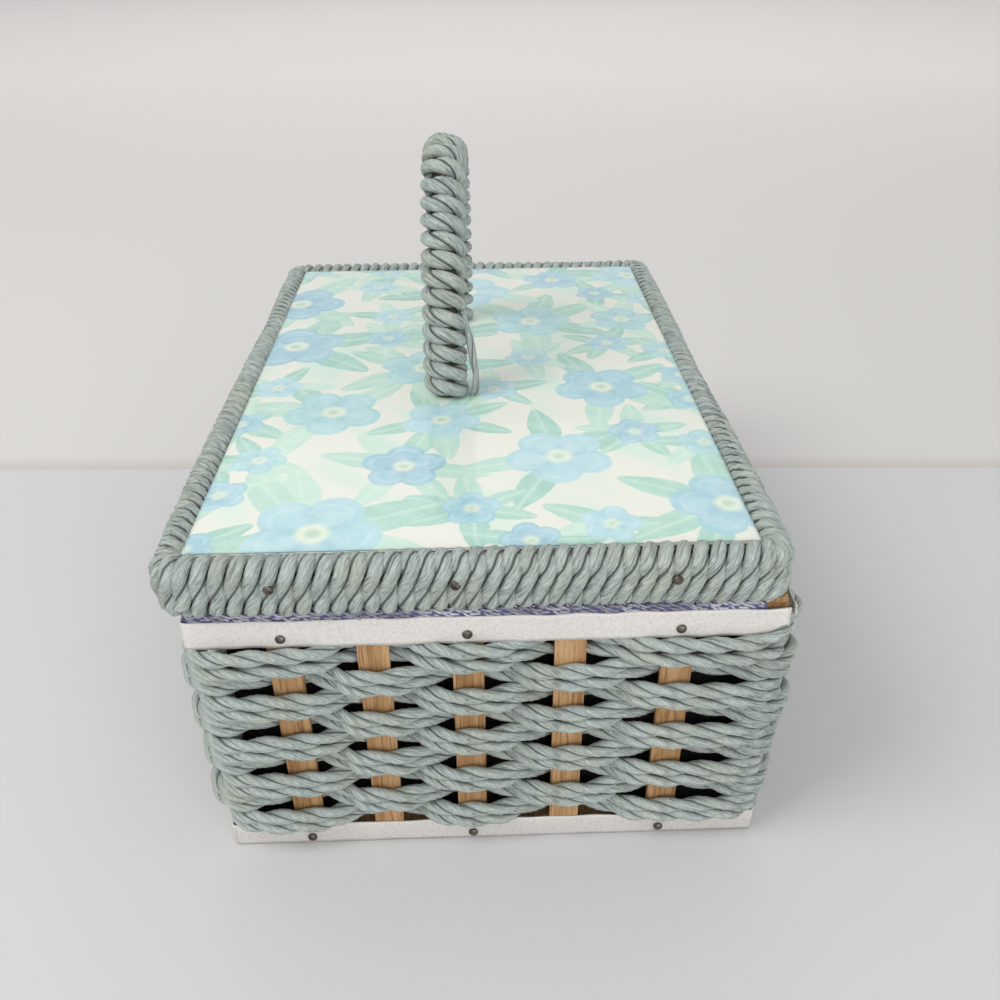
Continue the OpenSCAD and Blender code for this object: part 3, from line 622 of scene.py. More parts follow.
def new_material(name):
    made = bpy.data.materials.new(name)
    made.use_nodes = True
    made.node_tree.nodes.clear()
    n = Nodes(made.node_tree)
    c = bpy.context.scene.basket_colours
    place = n.add("ShaderNodeTexCoord", out=3)
    if name in ("body_cord", "rim_cord"):
        light, dark = (c.body_light, c.body_dark) if name == "body_cord" else (c.rim_light, c.rim_dark)
        olive = (light[0] * 1.02, light[1] * 0.96, light[2] * 0.84, 1)
        g = group(n, cord_group, {"Crest": rgba(light), "Crease": rgba(dark), "Olive": olive})
        surface(n, g[0], g[1], g[2], 0.0005, 1.0, Specular_IOR_Level=0.35, Sheen_Weight=0.15)
    elif name.startswith("wood_"):
        stretch = {"x": (0.04, 1, 1), "y": (1, 0.04, 1), "z": (1, 1, 0.04)}[name[-1]]
        g = group(n, wood_group, {"Stretch": stretch, "Light": rgba(c.wood_light), "Dark": rgba(c.wood_dark)})
        surface(n, g[0], g[1], g[2], 0.0003, 0.8, Specular_IOR_Level=0.3)
    elif name == "dark_wood":
        # Wood under the rim's and the handle's wraps, near black: painted shade in the gaps between the
        # turns.
        g = group(n, wood_group, {"Stretch": (1, 1, 1), "Light": (0.07, 0.075, 0.06, 1),
                              "Dark": (0.02, 0.02, 0.016, 1)})
        surface(n, g[0], 0.9, g[2], 0.0002, 0.6, Specular_IOR_Level=0.2)
    elif name == "liner_card":
        # Near-black card behind the weave: painted shade, seen through the gaps between the rows.
        g = group(n, wear_group, {"Scale": 300.0, "Amount": 0.7})
        tone = n.mix(g[0], (0.018, 0.016, 0.014, 1), (0.05, 0.045, 0.04, 1))
        surface(n, tone, 0.95, g[0], 0.0001, 0.5, Specular_IOR_Level=0.1)
    elif name == "satin":
        w = group(n, weave_group, {"Vector": place, "Threads": 2600.0})
        cloud = n.noise(place, 40, 2)
        tone = n.mix(n.ramp(cloud, 0.3, 0.7), rgba(c.satin, 0.9), rgba(c.satin, 1.08))
        surface(n, tone, n.ramp(cloud, 0.3, 0.7, 0.3, 0.4), w[0], 0.00005, 0.4, Sheen_Weight=0.4,
                Sheen_Roughness=0.35, Anisotropic=0.5)
    elif name == "braid":
        fine = n.noise(place, 2600, 2)
        tone = n.mix(n.ramp(fine, 0.35, 0.65), rgba(c.braid, 0.6), rgba(c.braid, 1.25))
        surface(n, tone, n.ramp(fine, 0.3, 0.7, 0.28, 0.5), fine, 0.0001, 0.6, Metallic=0.55)
    elif name == "braid_cord":
        # Dark violet crease colour: painted shade in the braid cords' grooves and crinkles.
        g = group(n, cord_group, {"Crest": rgba(c.braid, 0.7), "Crease": (0.03, 0.025, 0.10, 1),
                              "Olive": (0.85, 0.85, 0.93, 1)})
        surface(n, g[0], 0.36, g[2], 0.0003, 1.0, Metallic=0.3)
    elif name == "braid_shade":
        fine = n.noise(place, 2200, 2)
        surface(n, n.mix(fine, (0.03, 0.025, 0.09, 1), (0.12, 0.11, 0.26, 1)), 0.6, fine, 0.0001, 0.6)
    elif name == "tape":
        g = group(n, wear_group, {"Scale": 16.0, "Amount": 0.7})
        xyz = n.split(place)
        run = n.sum(xyz[0], xyz[1])
        rise = n.mul(xyz[2], 0.8)
        cross = n.join(n.sum(run, rise), n.sub(run, rise))
        w = group(n, weave_group, {"Vector": cross, "Threads": 1300.0})
        cloud = n.noise(place, 1100, 3, 0.6)
        high = n.sum(n.mul(w[0], 0.5), cloud)
        tone = n.mix(n.ramp(cloud, 0.35, 0.65), rgba(c.tape, 0.94), rgba(c.tape, 1.06))
        tone = n.mix(n.mul(g[0], 0.35), tone, (0.55, 0.52, 0.53, 1))
        tone = n.mix(n.ramp(w[0], 0.3, 0.9, 0.14, 0), tone, (0.5, 0.47, 0.46, 1))
        # Darker towards the bottom, where the foot tape faces the floor: painted shade.
        tone = n.mix(n.ramp(xyz[2], 0.004, 0.012, 0.35, 0), tone, (0.42, 0.40, 0.38, 1))
        surface(n, tone, n.ramp(cloud, 0.3, 0.7, 0.24, 0.4), high, 0.00007, 0.5, Coat_Weight=0.35,
                Coat_Roughness=0.15, Sheen_Weight=0.1)
    elif name in ("dark_nail", "brass", "zinc"):
        light, dark, rough = {"dark_nail": ((0.16, 0.14, 0.12, 1), (0.05, 0.035, 0.025, 1), 0.38),
                              "brass": ((0.72, 0.50, 0.20, 1), (0.36, 0.22, 0.08, 1), 0.24),
                              "zinc": ((0.55, 0.55, 0.56, 1), (0.3, 0.3, 0.31, 1), 0.32)}[name]
        g = group(n, wear_group, {"Scale": 350.0, "Amount": 0.8})
        surface(n, n.mix(g[0], light, dark), n.ramp(g[0], 0, 0.8, rough, rough + 0.3), g[1], 0.00003, 0.6,
                Metallic=1.0)
    elif name == "padding":
        fluff = n.noise(place, 500, 4, 0.7)
        surface(n, n.mix(fluff, (0.75, 0.73, 0.68, 1), (0.9, 0.89, 0.85, 1)), 0.9, fluff, 0.0004, 0.6,
                Sheen_Weight=0.3)
    elif name == "printed_cloth":
        wobble = n.mul(n.sub(n.noise(place, 420, 4, 0.65), 0.5), 0.34)
        wash = n.ramp(n.noise(place, 150, 4, 0.6), 0.38, 0.62)
        tone = n.add("ShaderNodeAttribute", out=0, attribute_name="print_ground")
        for key in ("leaves", "blossoms"):
            layer = n.add("ShaderNodeAttribute", out=None, attribute_name="print_" + key).outputs
            mask = n.ramp(n.sum(layer["Alpha"], wobble), 0.47, 0.53)
            paint = n.mix(n.mul(wash, 0.18), layer["Color"], (0.80, 0.90, 0.88, 1))
            tone = n.mix(n.mul(mask, 0.95), tone, paint)
        thread = n.noise(place, 1300, 2, 0.6)
        tone = n.mix(n.ramp(thread, 0.35, 0.65, 0.12, 0), tone, (0.62, 0.66, 0.62, 1))
        surface(n, tone, 0.75, Coat_Weight=0.9, Coat_Roughness=0.09, Coat_IOR=1.5)
    elif name == "clear_vinyl":
        wave = n.noise(place, 26, 2)
        g = group(n, wear_group, {"Scale": 30.0, "Amount": 0.5})
        surface(n, (0.93, 0.97, 0.96, 1), n.ramp(g[0], 0, 0.5, 0.05, 0.13), wave, 0.0012, 0.25, Alpha=0.05)
    elif name == "tray_plastic":
        g = group(n, wear_group, {"Scale": 80.0, "Amount": 0.6})
        tone = n.mix(g[0], rgba(c.tray), rgba(c.tray, 0.86))
        surface(n, tone, n.ramp(g[0], 0, 0.6, 0.26, 0.42), g[1], 0.00004, 0.5, Subsurface_Weight=0.08,
                Subsurface_Scale=0.002)
    elif name == "floor":
        away = n.vec("DOT_PRODUCT", place, WALL_FACING, out=1)
        back = n.ramp(away, WALL_AWAY - 0.0005, WALL_AWAY + 0.001)
        # A dark line where the paler half begins: painted shadow at the foot of the wall.
        line = n.mul(back, n.ramp(away, WALL_AWAY, WALL_AWAY + 0.018, 0.4, 0))
        mist = n.noise(place, 6, 2)
        # The paler half darkens towards that line and lightens far behind: painted shade.
        far = n.add("ShaderNodeMapRange", {0: away, 1: WALL_AWAY, 2: 1.8})
        far = n.mix(far, (0.66, 0.645, 0.625, 1), (0.87, 0.84, 0.81, 1))
        tone = n.mix(back, (0.605, 0.61, 0.61, 1), far)
        tone = n.mix(line, tone, (0.42, 0.36, 0.32, 1))
        tone = n.mix(n.mul(mist, 0.05), tone, (0.7, 0.7, 0.7, 1))
        surface(n, tone, 0.6, Specular_IOR_Level=0.2)
    return made


# Operators, one for each piece or group of like pieces

class BASKET_OT_boards(bpy.types.Operator):
    """Stakes, rails, boards and cleats of bare wood, the rim rails painted near black as the shade between
    the wrap's turns, and the liner boards painted near black as the shade behind the weave
    """
    bl_idname = "basket.boards"
    bl_label = "Boards and stakes"

    def execute(self, context):
        for side in SIDES:
            run = "x" if side in ("near", "far") else "y"
            softened("stakes_" + side, "basket", material("wood_z"), 0.5)
            softened("top_rail_" + side, "basket", material("wood_" + run), 0.5)
            dressed("liner_board_" + side, material("liner_card"))
            softened("rim_rail_" + side, "lid", material("dark_wood"), 0.4)
        softened("base_board", "basket", material("wood_y"), 0.6)
        softened("tray_cleats", "basket", material("wood_y"), 0.5)
        softened("lid_battens", "lid", material("wood_y"), 0.5)
        dressed("lid_board", material("wood_y"))
        return {"FINISHED"}


def stake_places():
    """For each side, the middle of each stake along it."""
    found = []
    for k, side in enumerate(SIDES):
        axis = k % 2
        mids = [(lo[axis] + hi[axis]) / 2 for lo, hi in islands("stakes_" + side)]
        found += [(k, m) for m in sorted(mids, reverse=k > 1)]
    return found


class BASKET_OT_weave(bpy.types.Operator):
    """Nine rows of paired twisted cords, woven out and in round the stakes"""
    bl_idname = "basket.weave"
    bl_label = "Woven rows"

    def execute(self, context):
        z = context.scene.basket_sizes
        stakes = stake_places()
        step, flat, wander, corner_reach = 1.5 * MM, 2.2 * MM, 0.22 * MM, 15 * MM
        for row in range(1, ROWS + 1):
            node = f"weave_row_{row}"
            lo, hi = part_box(node)
            inset = CORD_T / 2 + CAD_SWING
            loop = Loop(hi.x - inset, hi.y - inset, WEAVE_CORNER)
            s = np.arange(0, loop.length, step)
            at = np.array([loop.place(side, pos) for side, pos in stakes])
            sign = np.array([1.0 if (k + ROWS - row) % 2 == 0 else -1.0 for k in range(len(stakes))])
            k = np.searchsorted(at, s, side="right") - 1
            after = (k + 1) % len(at)
            span = (at[after] - at[k]) % loop.length
            t = np.clip((((s - at[k]) % loop.length) - flat) / (span - 2 * flat), 0, 1)
            t = t * t * t * (t * (6 * t - 15) + 10)
            f = sign[k] + (sign[after] - sign[k]) * t
            middles = (loop.starts[1:8:2] + loop.starts[2:9:2]) / 2
            apart = np.abs((s[:, None] - middles + loop.length / 2) % loop.length - loop.length / 2)
            away, corner = np.min(apart, 1), np.argmin(apart, 1)
            push = np.random.default_rng(40 + row).normal(3.2 * MM, 0.7 * MM, 4)
            bulge = push[corner] * np.exp(-(away / corner_reach) ** 2)
            lines, facings = [], []
            for strand, up in enumerate((1, -1)):
                seed = 10 * row + strand
                out = z.swing * f + bulge + wander * ripple(s, loop.length, seed, 6, 40)
                x, y, nx, ny = loop.at(s)
                high = up * (2.08 + 0.36 * np.abs(f)) * MM
                high += wander * ripple(s, loop.length, seed + 500, 6, 40)
                if (row, up) == (1, 1):
                    climb = np.exp(-((s - middles[0] - 6 * MM) / (9 * MM)) ** 2)
                    high, out = high + (0.9 + 9 * climb) * MM, out + 2.6 * MM * climb
                lines.append(np.stack([x + nx * out, y + ny * out, (lo.z + hi.z) / 2 + high], -1))
                facings.append(np.stack([nx * 0, ny * 0, nx * 0 + 1], -1))
            long = np.linalg.norm(np.diff(lines[0], axis=0), axis=1).sum()
            turns = round(long / z.lay)
            cord(f"woven_cords_{row}", lines, facings, turns, z.ply, z.ply_offset, 1.25 * MM, "body_cord",
                 "basket", [node], closed=True)
        return {"FINISHED"}


class BASKET_OT_tapes(bpy.types.Operator):
    """Pearly tapes nailed round the top and the foot"""
    bl_idname = "basket.tapes"
    bl_label = "Tapes"

    def strip(self, name, box, node, start, end, nails, seed):
        hw, hl = box[1].x, box[1].y
        loop = Loop(hw, hl, 1.2 * MM)
        a, b = start(loop), end(loop)
        s = np.linspace(a, b, int((b - a) / (1.6 * MM)))
        t = np.linspace(0, 1, 9)
        x, y, nx, ny = loop.at(s)
        low = box[0].z + 0.15 * MM * ripple(s, loop.length, seed, 8, 60)
        top = box[1].z + 0.3 * MM * ripple(s, loop.length, seed + 1, 8, 60)
        zz = low[:, None] + (top - low)[:, None] * t
        out = (0.16 * ripple(s, loop.length, seed + 2, 8, 70)[:, None] * (0.4 + t * t)
               + 0.22 * np.sin(np.pi * t)) * MM
        for nail_s, nail_z in nails(loop):
            d2 = (s[:, None] - nail_s) ** 2 + (zz - nail_z) ** 2
            out -= 0.4 * MM * np.exp(-d2 / (2.6 * MM) ** 2)
        p = np.stack([x[:, None] + nx[:, None] * out, y[:, None] + ny[:, None] * out, zz], -1)
        obj = link(name, grid_mesh(name, p))
        thick = obj.modifiers.new("Thickness", "SOLIDIFY")
        thick.thickness, thick.offset = 0.45 * MM, -1
        baked(obj)
        finish_piece(obj, "basket", material("tape"), [node])

    def execute(self, context):
        def nail_places(node):
            def at(loop):
                found = []
                for lo, hi in islands(node):
                    mid = (lo + hi) / 2
                    end = hi[1] - lo[1] > hi[0] - lo[0]
                    side = (0 if mid[1] < 0 else 2) if end else (1 if mid[0] > 0 else 3)
                    found.append((loop.place(side, mid[side % 2]), mid[2]))
                return found
            return at
        cut = TAPE[1].x - 2.3 * MM
        self.strip("top_tape_strip", TAPE, "top_tape", lambda l: l.place(0, cut) + 3.4 * MM,
                   lambda l: l.length + l.place(0, cut), nail_places("top_tape_nails"), 3)
        self.strip("foot_tape_strip", FOOT, "foot_tape", lambda l: 0.0, lambda l: l.length,
                   nail_places("foot_tape_nails"), 7)
        return {"FINISHED"}


class BASKET_OT_nails(bpy.types.Operator):
    """Domed nails and tacks of the tapes, the rim, the hinges and the latch"""
    bl_idname = "basket.nails"
    bl_label = "Nails and tacks"

    def execute(self, context):
        z = context.scene.basket_sizes
        tack = 1.4 * MM
        for node, body, look, r in (
                ("top_tape_nails", "basket", "dark_nail", z.nail),
                ("foot_tape_nails", "basket", "dark_nail", z.nail), ("rim_nails", "lid", "dark_nail", z.nail),
                ("hinge_lower_tacks", "basket", "brass", tack), ("hinge_upper_tacks", "lid", "brass", tack),
                ("latch_tacks", "lid", "brass", tack)):
            points, facings = [], []
            for lo, hi in islands(node):
                mid, size = (lo + hi) / 2, hi - lo
                axis = int(np.argmax(size))
                facing = np.zeros(3)
                facing[axis] = 1 if mid[axis] > 0 else -1
                head = mid + facing * (size[axis] / 2 - 0.45 * MM)
                points.append([head])
                facings.append([facing])
            grown(node + "_domed", line_mesh("points", points, facings, False), nail_tree,
                  {"Head Radius": r, "Head Height": 0.5, "Shank Length": 4 * MM, "Material": material(look)},
                  body, [node])
        return {"FINISHED"}


class BASKET_OT_braid(bpy.types.Operator):
    """Metallic braid over the basket's top edge"""
    bl_idname = "basket.braid"
    bl_label = "Braid"

    def walk(self, inset, step, bare):
        """A path round the top edge that stops short of the near right corner."""
        loop = Loop(BRAID[1].x - inset, BRAID[1].y - inset, 3 * MM)
        corner = (loop.starts[1] + loop.starts[2]) / 2
        s = corner + np.arange(bare, loop.length - bare, step)
        return s, *loop.at(s)

    def execute(self, context):
        low, high = BRAID[0].z, BRAID[1].z
        bare = 9 * MM
        for k, (inset, slant, size, drop) in enumerate((
                (2.6, 0.6, (2.5, 1.0, 0.55), 0.55), (6.3, -0.6, (2.5, 1.0, 0.55), 0.55),
                (9.6, 0.6, (2.4, 1.0, 0.55), 0.55), (11.2, -0.6, (1.1, 0.7, 0.6), 0.8))):
            _, x, y, _, _ = self.walk(inset * MM, 2 * MM, bare)
            line = np.stack([x, y, x * 0 + high - drop * MM], -1)
            grown(f"braid_threads_{k}", line_mesh("path", [line], [line * 0 + (0, 0, 1)], False), braid_tree,
                  {"Pitch": 1.75 * MM, "Loop Length": size[0] * MM, "Loop Width": size[1] * MM,
                   "Loop Height": size[2] * MM, "Slant": slant, "Material": material("braid")},
                  "basket")
        for k, z in enumerate((low + 0.45 * MM, high - 0.75 * MM)):
            s, x, y, nx, ny = self.walk(0.4 * MM, 1 * MM, bare)
            wave = 0.3 * MM * np.sin(2 * np.pi * s / (5.5 * MM) + 2.4 * k)
            wave += 0.2 * MM * ripple(s, 0.9, 60 + k, 9, 90)
            out = 0.3 * MM * np.sin(2 * np.pi * s / (7 * MM) + k)
            line = np.stack([x + nx * out, y + ny * out, z + wave], -1)
            cord(f"braid_edge_{k}", [line], [np.stack([nx, ny, nx * 0], -1)], 150.0, 0.5 * MM, 0.4 * MM,
                 0.7 * MM, "braid_cord", "basket")
        ring = []
        for inset, z in ((-0.04, low - 1 * MM), (-0.04, low + 0.3 * MM), (0.3, high - 0.7 * MM),
                         (12.2, high - 0.7 * MM), (12.2, low - 1.3 * MM), (-0.04, low - 1 * MM)):
            loop = Loop(BRAID[1].x - inset * MM, BRAID[1].y - inset * MM, 2 * MM)
            corner = (loop.starts[1] + loop.starts[2]) / 2
            x, y, _, _ = loop.at(corner + np.linspace(bare, loop.length - bare, 400))
            ring.append(np.stack([x, y, x * 0 + z], -1))
        corner = (BRAID[1].x - 2.2 * MM, -BRAID[1].y + 2.6 * MM)
        gx, gy = np.linspace(corner[0] - 7 * MM, corner[0], 8), np.linspace(corner[1], corner[1] + 7 * MM, 8)
        top = high - 0.3 * MM - 0.25 * MM * np.abs(np.subtract.outer(gx, gy) % (3 * MM)) / MM
        block = link("rail_end", box_mesh("rail_end", gx, gy, top, top * 0 + low - 1 * MM))
        finish_piece(block, "basket", material("wood_z"), shade=False)
        band = link("braid_band", grid_mesh("band", np.stack(ring, 1)))
        merge(band)
        finish_piece(band, "basket", material("braid_shade"), ["top_braid"], shade=False)
        return {"FINISHED"}


def merge(obj):
    """Welds a piece's points, closes its ends and turns its faces outwards."""
    bm = welded(obj.data)
    bmesh.ops.holes_fill(bm, edges=bm.edges, sides=8)
    bmesh.ops.recalc_face_normals(bm, faces=bm.faces)
    bm.to_mesh(obj.data)
    bm.free()


class BASKET_OT_lining(bpy.types.Operator):
    """Satin round the inside and over the card on the floor"""
    bl_idname = "basket.lining"
    bl_label = "Satin lining"

    def execute(self, context):
        lo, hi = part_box("satin_lining")
        loop = Loop(hi.x - 0.42 * MM, hi.y - 0.42 * MM, 1.5 * MM)
        s = np.linspace(0, loop.length, 800, endpoint=False)
        x, y, nx, ny = loop.at(s)
        t = np.linspace(0, 1, 16)
        pucker = 0.16 * MM * ripple(s, loop.length, 21, 60, 190, 9)[:, None] * (0.25 + (2 * t - 1) ** 2)
        z = lo.z + (hi.z - lo.z) * t
        p = np.stack([x[:, None] + nx[:, None] * pucker, y[:, None] + ny[:, None] * pucker,
                      np.broadcast_to(z, (len(s), len(t)))], -1)
        obj = link("satin_walls", grid_mesh("satin_walls", p, True, flip=True))
        wall = obj.modifiers.new("Thickness", "SOLIDIFY")
        wall.thickness, wall.offset = 0.3 * MM, 0
        baked(obj)
        finish_piece(obj, "basket", material("satin"), ["satin_lining"])
        lo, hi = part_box("base_card")
        gx, gy = np.linspace(lo.x, hi.x, 84), np.linspace(lo.y, hi.y, 130)
        u, v = np.meshgrid(gx / hi.x, gy / hi.y, indexing="ij")
        puff = (1 - np.abs(u) ** 14) * (1 - np.abs(v) ** 20)
        top = hi.z - 0.7 * MM + 0.8 * MM * puff + 0.12 * MM * np.sin(9 * u + 4 * v) * puff
        card = link("base_pad", box_mesh("base_pad", gx, gy, top, top * 0 + lo.z))
        finish_piece(card, "basket", material("satin"), ["base_card"])
        return {"FINISHED"}


def crown(u, v, height):
    """The padding's rise over the lid, where u and v run from -1 to 1."""
    return height * (1 - np.abs(u) ** 6) * (1 - np.abs(v) ** 8)


def print_layers(gx, gy):
    """A generic all-over print of soft blossoms and leaves in mint, pale blue and cream, as three layers: the
    ground, the leaves and the blossoms, each layer's colour with how far inside its shapes a point is."""
    rng = np.random.default_rng(11)
    x, y = np.meshgrid(gx, gy, indexing="ij")
    patch = sum(np.sin(x * a + y * b + c) for a, b, c in rng.uniform(-1, 1, (12, 3)) * (260, 260, 6)) / 4
    ground = np.array([0.77, 0.775, 0.69]) + np.array([-0.16, 0.0, -0.02]) * np.clip(patch, 0, 1)[..., None]
    leaves, blossoms = ground * 0 + (0.40, 0.72, 0.56), ground * 0 + (0.36, 0.64, 0.76)
    leaf_d, blossom_d = x * 0 + 1, x * 0 + 1
    greens = [(0.31, 0.61, 0.49), (0.41, 0.67, 0.55), (0.26, 0.56, 0.46), (0.50, 0.73, 0.60)]

    def lay(layer, mask, tint):
        mask = np.clip(mask, 0, 1)[..., None]
        layer += (np.asarray(tint) - layer) * mask

    def inside(d, soft):
        return np.clip(0.5 - d / soft, 0, 1)

    def leaf(cx, cy, a, size, tint):
        dx, dy = x - cx, y - cy
        u, v = dx * math.cos(a) + dy * math.sin(a), -dx * math.sin(a) + dy * math.cos(a)
        t = np.clip(u / size, -1, 1)
        half = 0.36 * size * np.sqrt(1 - t * t) * (1.15 - 0.45 * t)
        d = np.abs(v) - half + 9 * np.clip(np.abs(u) - size, 0, 1)
        lay(leaves, d < leaf_d, tint)
        lay(leaves, inside(np.abs(v) - 0.5 * MM, MM) * (d < 0) * 0.5, (0.66, 0.86, 0.70))
        np.minimum(leaf_d, d, out=leaf_d)

    spots = []
    for _ in range(6000):
        p = (rng.uniform(gx[0], gx[-1]), rng.uniform(gy[0], gy[-1]))
        r = rng.choice([0.010, 0.015, 0.019, 0.022])
        if all(math.hypot(p[0] - q[0], p[1] - q[1]) > 1.18 * (r + q[2]) for q in spots):
            spots.append((*p, r))
    blues = [((0.29, 0.57, 0.66), (0.18, 0.44, 0.58)), ((0.38, 0.65, 0.71), (0.23, 0.51, 0.62)),
             ((0.26, 0.53, 0.64), (0.16, 0.40, 0.55)), ((0.34, 0.63, 0.66), (0.20, 0.49, 0.58))]
    for cx, cy, r in spots:
        start = rng.uniform(0, 2 * math.pi)
        for k in range(rng.integers(4, 7)):
            a = start + k * 1.15 + rng.uniform(-0.3, 0.3)
            leaf(cx + 1.3 * r * math.cos(a), cy + 1.3 * r * math.sin(a), a,
                 rng.uniform(0.6, 0.85) * max(r, 0.013), greens[rng.integers(4)])
        dist, turn = np.hypot(x - cx, y - cy), np.arctan2(y - cy, x - cx)
        light, deep = blues[rng.integers(4)]
        wave = np.abs(np.cos(2.5 * (turn - start)))
        d = dist - r * (0.70 + 0.30 * wave ** 0.7)
        near = d < blossom_d
        lay(blossoms, near, light)
        lay(blossoms, near * (1 - wave) ** 1.2 * np.clip(1.25 - dist / r, 0, 1) * 0.9, deep)
        lay(blossoms, near * inside(np.abs(d + 0.2 * r) - 0.5 * MM, MM) * 0.3, (0.72, 0.88, 0.92))
        lay(blossoms, inside(dist - 0.24 * r, 2 * MM) * 0.85, (0.76, 0.82, 0.62))
        lay(blossoms, inside(dist - 0.11 * r, MM) * 0.8, (0.36, 0.58, 0.42))
        np.minimum(blossom_d, d, out=blossom_d)
    layers = ("ground", ground, x * 0), ("leaves", leaves, leaf_d), ("blossoms", blossoms, blossom_d)
    return {name: np.concatenate([tint, inside(d, PRINT_REACH)[..., None]], -1) for name, tint, d in layers}


class BASKET_OT_lid_panel(bpy.types.Operator):
    """Padding, printed cover and clear vinyl on the lid, and the quilted satin under it"""
    bl_idname = "basket.lid_panel"
    bl_label = "Lid panel"

    def execute(self, context):
        z = context.scene.basket_sizes
        skin = 0.04 * MM

        def layer(name, node, nx, ny, look, lift_low, low_gap=0.0, high_gap=0.0):
            lo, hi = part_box(node)
            gx, gy = np.linspace(lo.x, hi.x, nx), np.linspace(lo.y, hi.y, ny)
            u, v = np.meshgrid((gx - LID_X) / PANEL_HW, gy / PANEL_HL, indexing="ij")
            rise = crown(u, v, z.crown)
            top, low = hi.z + rise - high_gap, lo.z + rise * lift_low + low_gap
            obj = link(name, box_mesh(name, gx, gy, top, low))
            return finish_piece(obj, "lid", material(look), [node]), gx, gy

        pad, _, _ = layer("lid_pad", "lid_padding", 60, 90, "padding", 0, high_gap=skin)
        cover, gx, gy = layer("printed_cover", "lid_printed_cover", 178, 268, "printed_cloth", 1)
        for key, tints in print_layers(gx, gy).items():
            data = tints.reshape(-1, 4)
            layer_colour = cover.data.color_attributes.new("print_" + key, "FLOAT_COLOR", "POINT")
            layer_colour.data.foreach_set("color", np.concatenate([data, data]).astype(np.float32).ravel())
        vinyl, _, _ = layer("clear_cover", "lid_clear_vinyl", 60, 90, "clear_vinyl", 1, low_gap=skin)
        lo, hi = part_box("lid_lining")
        gx, gy = np.linspace(lo.x, hi.x, 164), np.linspace(lo.y, hi.y, 256)
        x, y = np.meshgrid(gx - LID_X, gy, indexing="ij")
        cell = 21 * MM
        a, b = (x + y) / cell, (x - y) / cell
        puff = np.sqrt(np.abs(np.sin(np.pi * a) * np.sin(np.pi * b)))
        u, v = x / x.max(), y / y.max()
        side = np.clip((1 - np.abs(u)) * 12, 0, 1) * np.clip((1 - np.abs(v)) * 18, 0, 1)
        low = lo.z + 0.9 * MM - (0.5 * MM + z.quilt * puff) * side ** 0.5
        lining = link("quilted_lining", box_mesh("quilted_lining", gx, gy, low * 0 + hi.z, low))
        finish_piece(lining, "lid", material("satin"), ["lid_lining"])
        return {"FINISHED"}


class BASKET_OT_rim_wrap(bpy.types.Operator):
    """Cord wound round the lid's rim"""
    bl_idname = "basket.rim_wrap"
    bl_label = "Rim wrap"

    def execute(self, context):
        z = context.scene.basket_sizes
        hw, hl = (RIM[1].x - RIM[0].x) / 2, RIM[1].y
        half_rim = (hw - PANEL_HW - 0.3 * MM) / 2
        half_w, half_h, r = half_rim - 2.1 * MM, (RIM[1].z - RIM[0].z) / 2 - 2.4 * MM, 1.8 * MM
        inner = 0.35 * MM
        base = Loop(hw - half_rim - inner, hl - half_rim - inner, half_rim, LID_X, corner_gain=2.0)
        turns = round(base.length / z.rim_pitch)
        section = Loop(half_w, half_h, r)
        per = 26
        u = np.arange(turns * per + 1) / per
        rng = np.random.default_rng(5)
        jitter = np.interp(u, np.arange(turns + 2), rng.normal(0, 0.16 * MM, turns + 2))
        x, y, nx, ny = base.at(u * base.length / turns + jitter)
        a, b, na, nb = section.at(section.starts[2] + u * section.length)
        proud = np.interp(u, np.arange(turns + 2), rng.normal(0, 0.12 * MM, turns + 2))
        a = a + proud
        line = np.stack([x + nx * a, y + ny * a, (RIM[0].z + RIM[1].z) / 2 + 0.3 * MM + b], -1)
        facing = np.stack([nx * na, ny * na, nb], -1)
        cord("rim_cord", [line], [facing], turns * RIM_TWISTS, z.wrap_ply * 0.96, 1.15 * MM, 1.3 * MM,
             "rim_cord", "lid", ["rim_wrap"])
        return {"FINISHED"}


def arch(s):
    """Middle and outward direction at a length along the handle's arch."""
    s = np.asarray(s, float)
    part = np.where(s < ARCH_LEG, 0, np.where(s > ARCH_LEN - ARCH_LEG, 2, 1))
    a = np.choose(part, [s / ARCH_LEG_R, ARCH_BEND + (s - ARCH_LEG) / ARCH_TOP_R,
                         math.pi - (ARCH_LEN - s) / ARCH_LEG_R])
    r = np.where(part == 1, ARCH_TOP_R, ARCH_LEG_R)
    cy = np.choose(part, [ARCH_LEG_R - ARCH_SPAN, 0, ARCH_SPAN - ARCH_LEG_R])
    cz = np.where(part == 1, ARCH_RISE - ARCH_TOP_R, 0)
    out = np.stack([a * 0, -np.cos(a), np.sin(a)], -1)
    return np.stack([a * 0, cy, cz], -1) + r[:, None] * out, out


def at_handle(p, direction=False):
    """Points of the arch, or directions, turned and moved to where the handle stands."""
    c, d = math.cos(-HANDLE_YAW), math.sin(-HANDLE_YAW)
    x, y = p[:, 0] * c - p[:, 1] * d, p[:, 0] * d + p[:, 1] * c
    q = np.stack([x, y, p[:, 2]], -1)
    return q if direction else q + np.array([HANDLE_AT[0], HANDLE_AT[1], PANEL_Z])


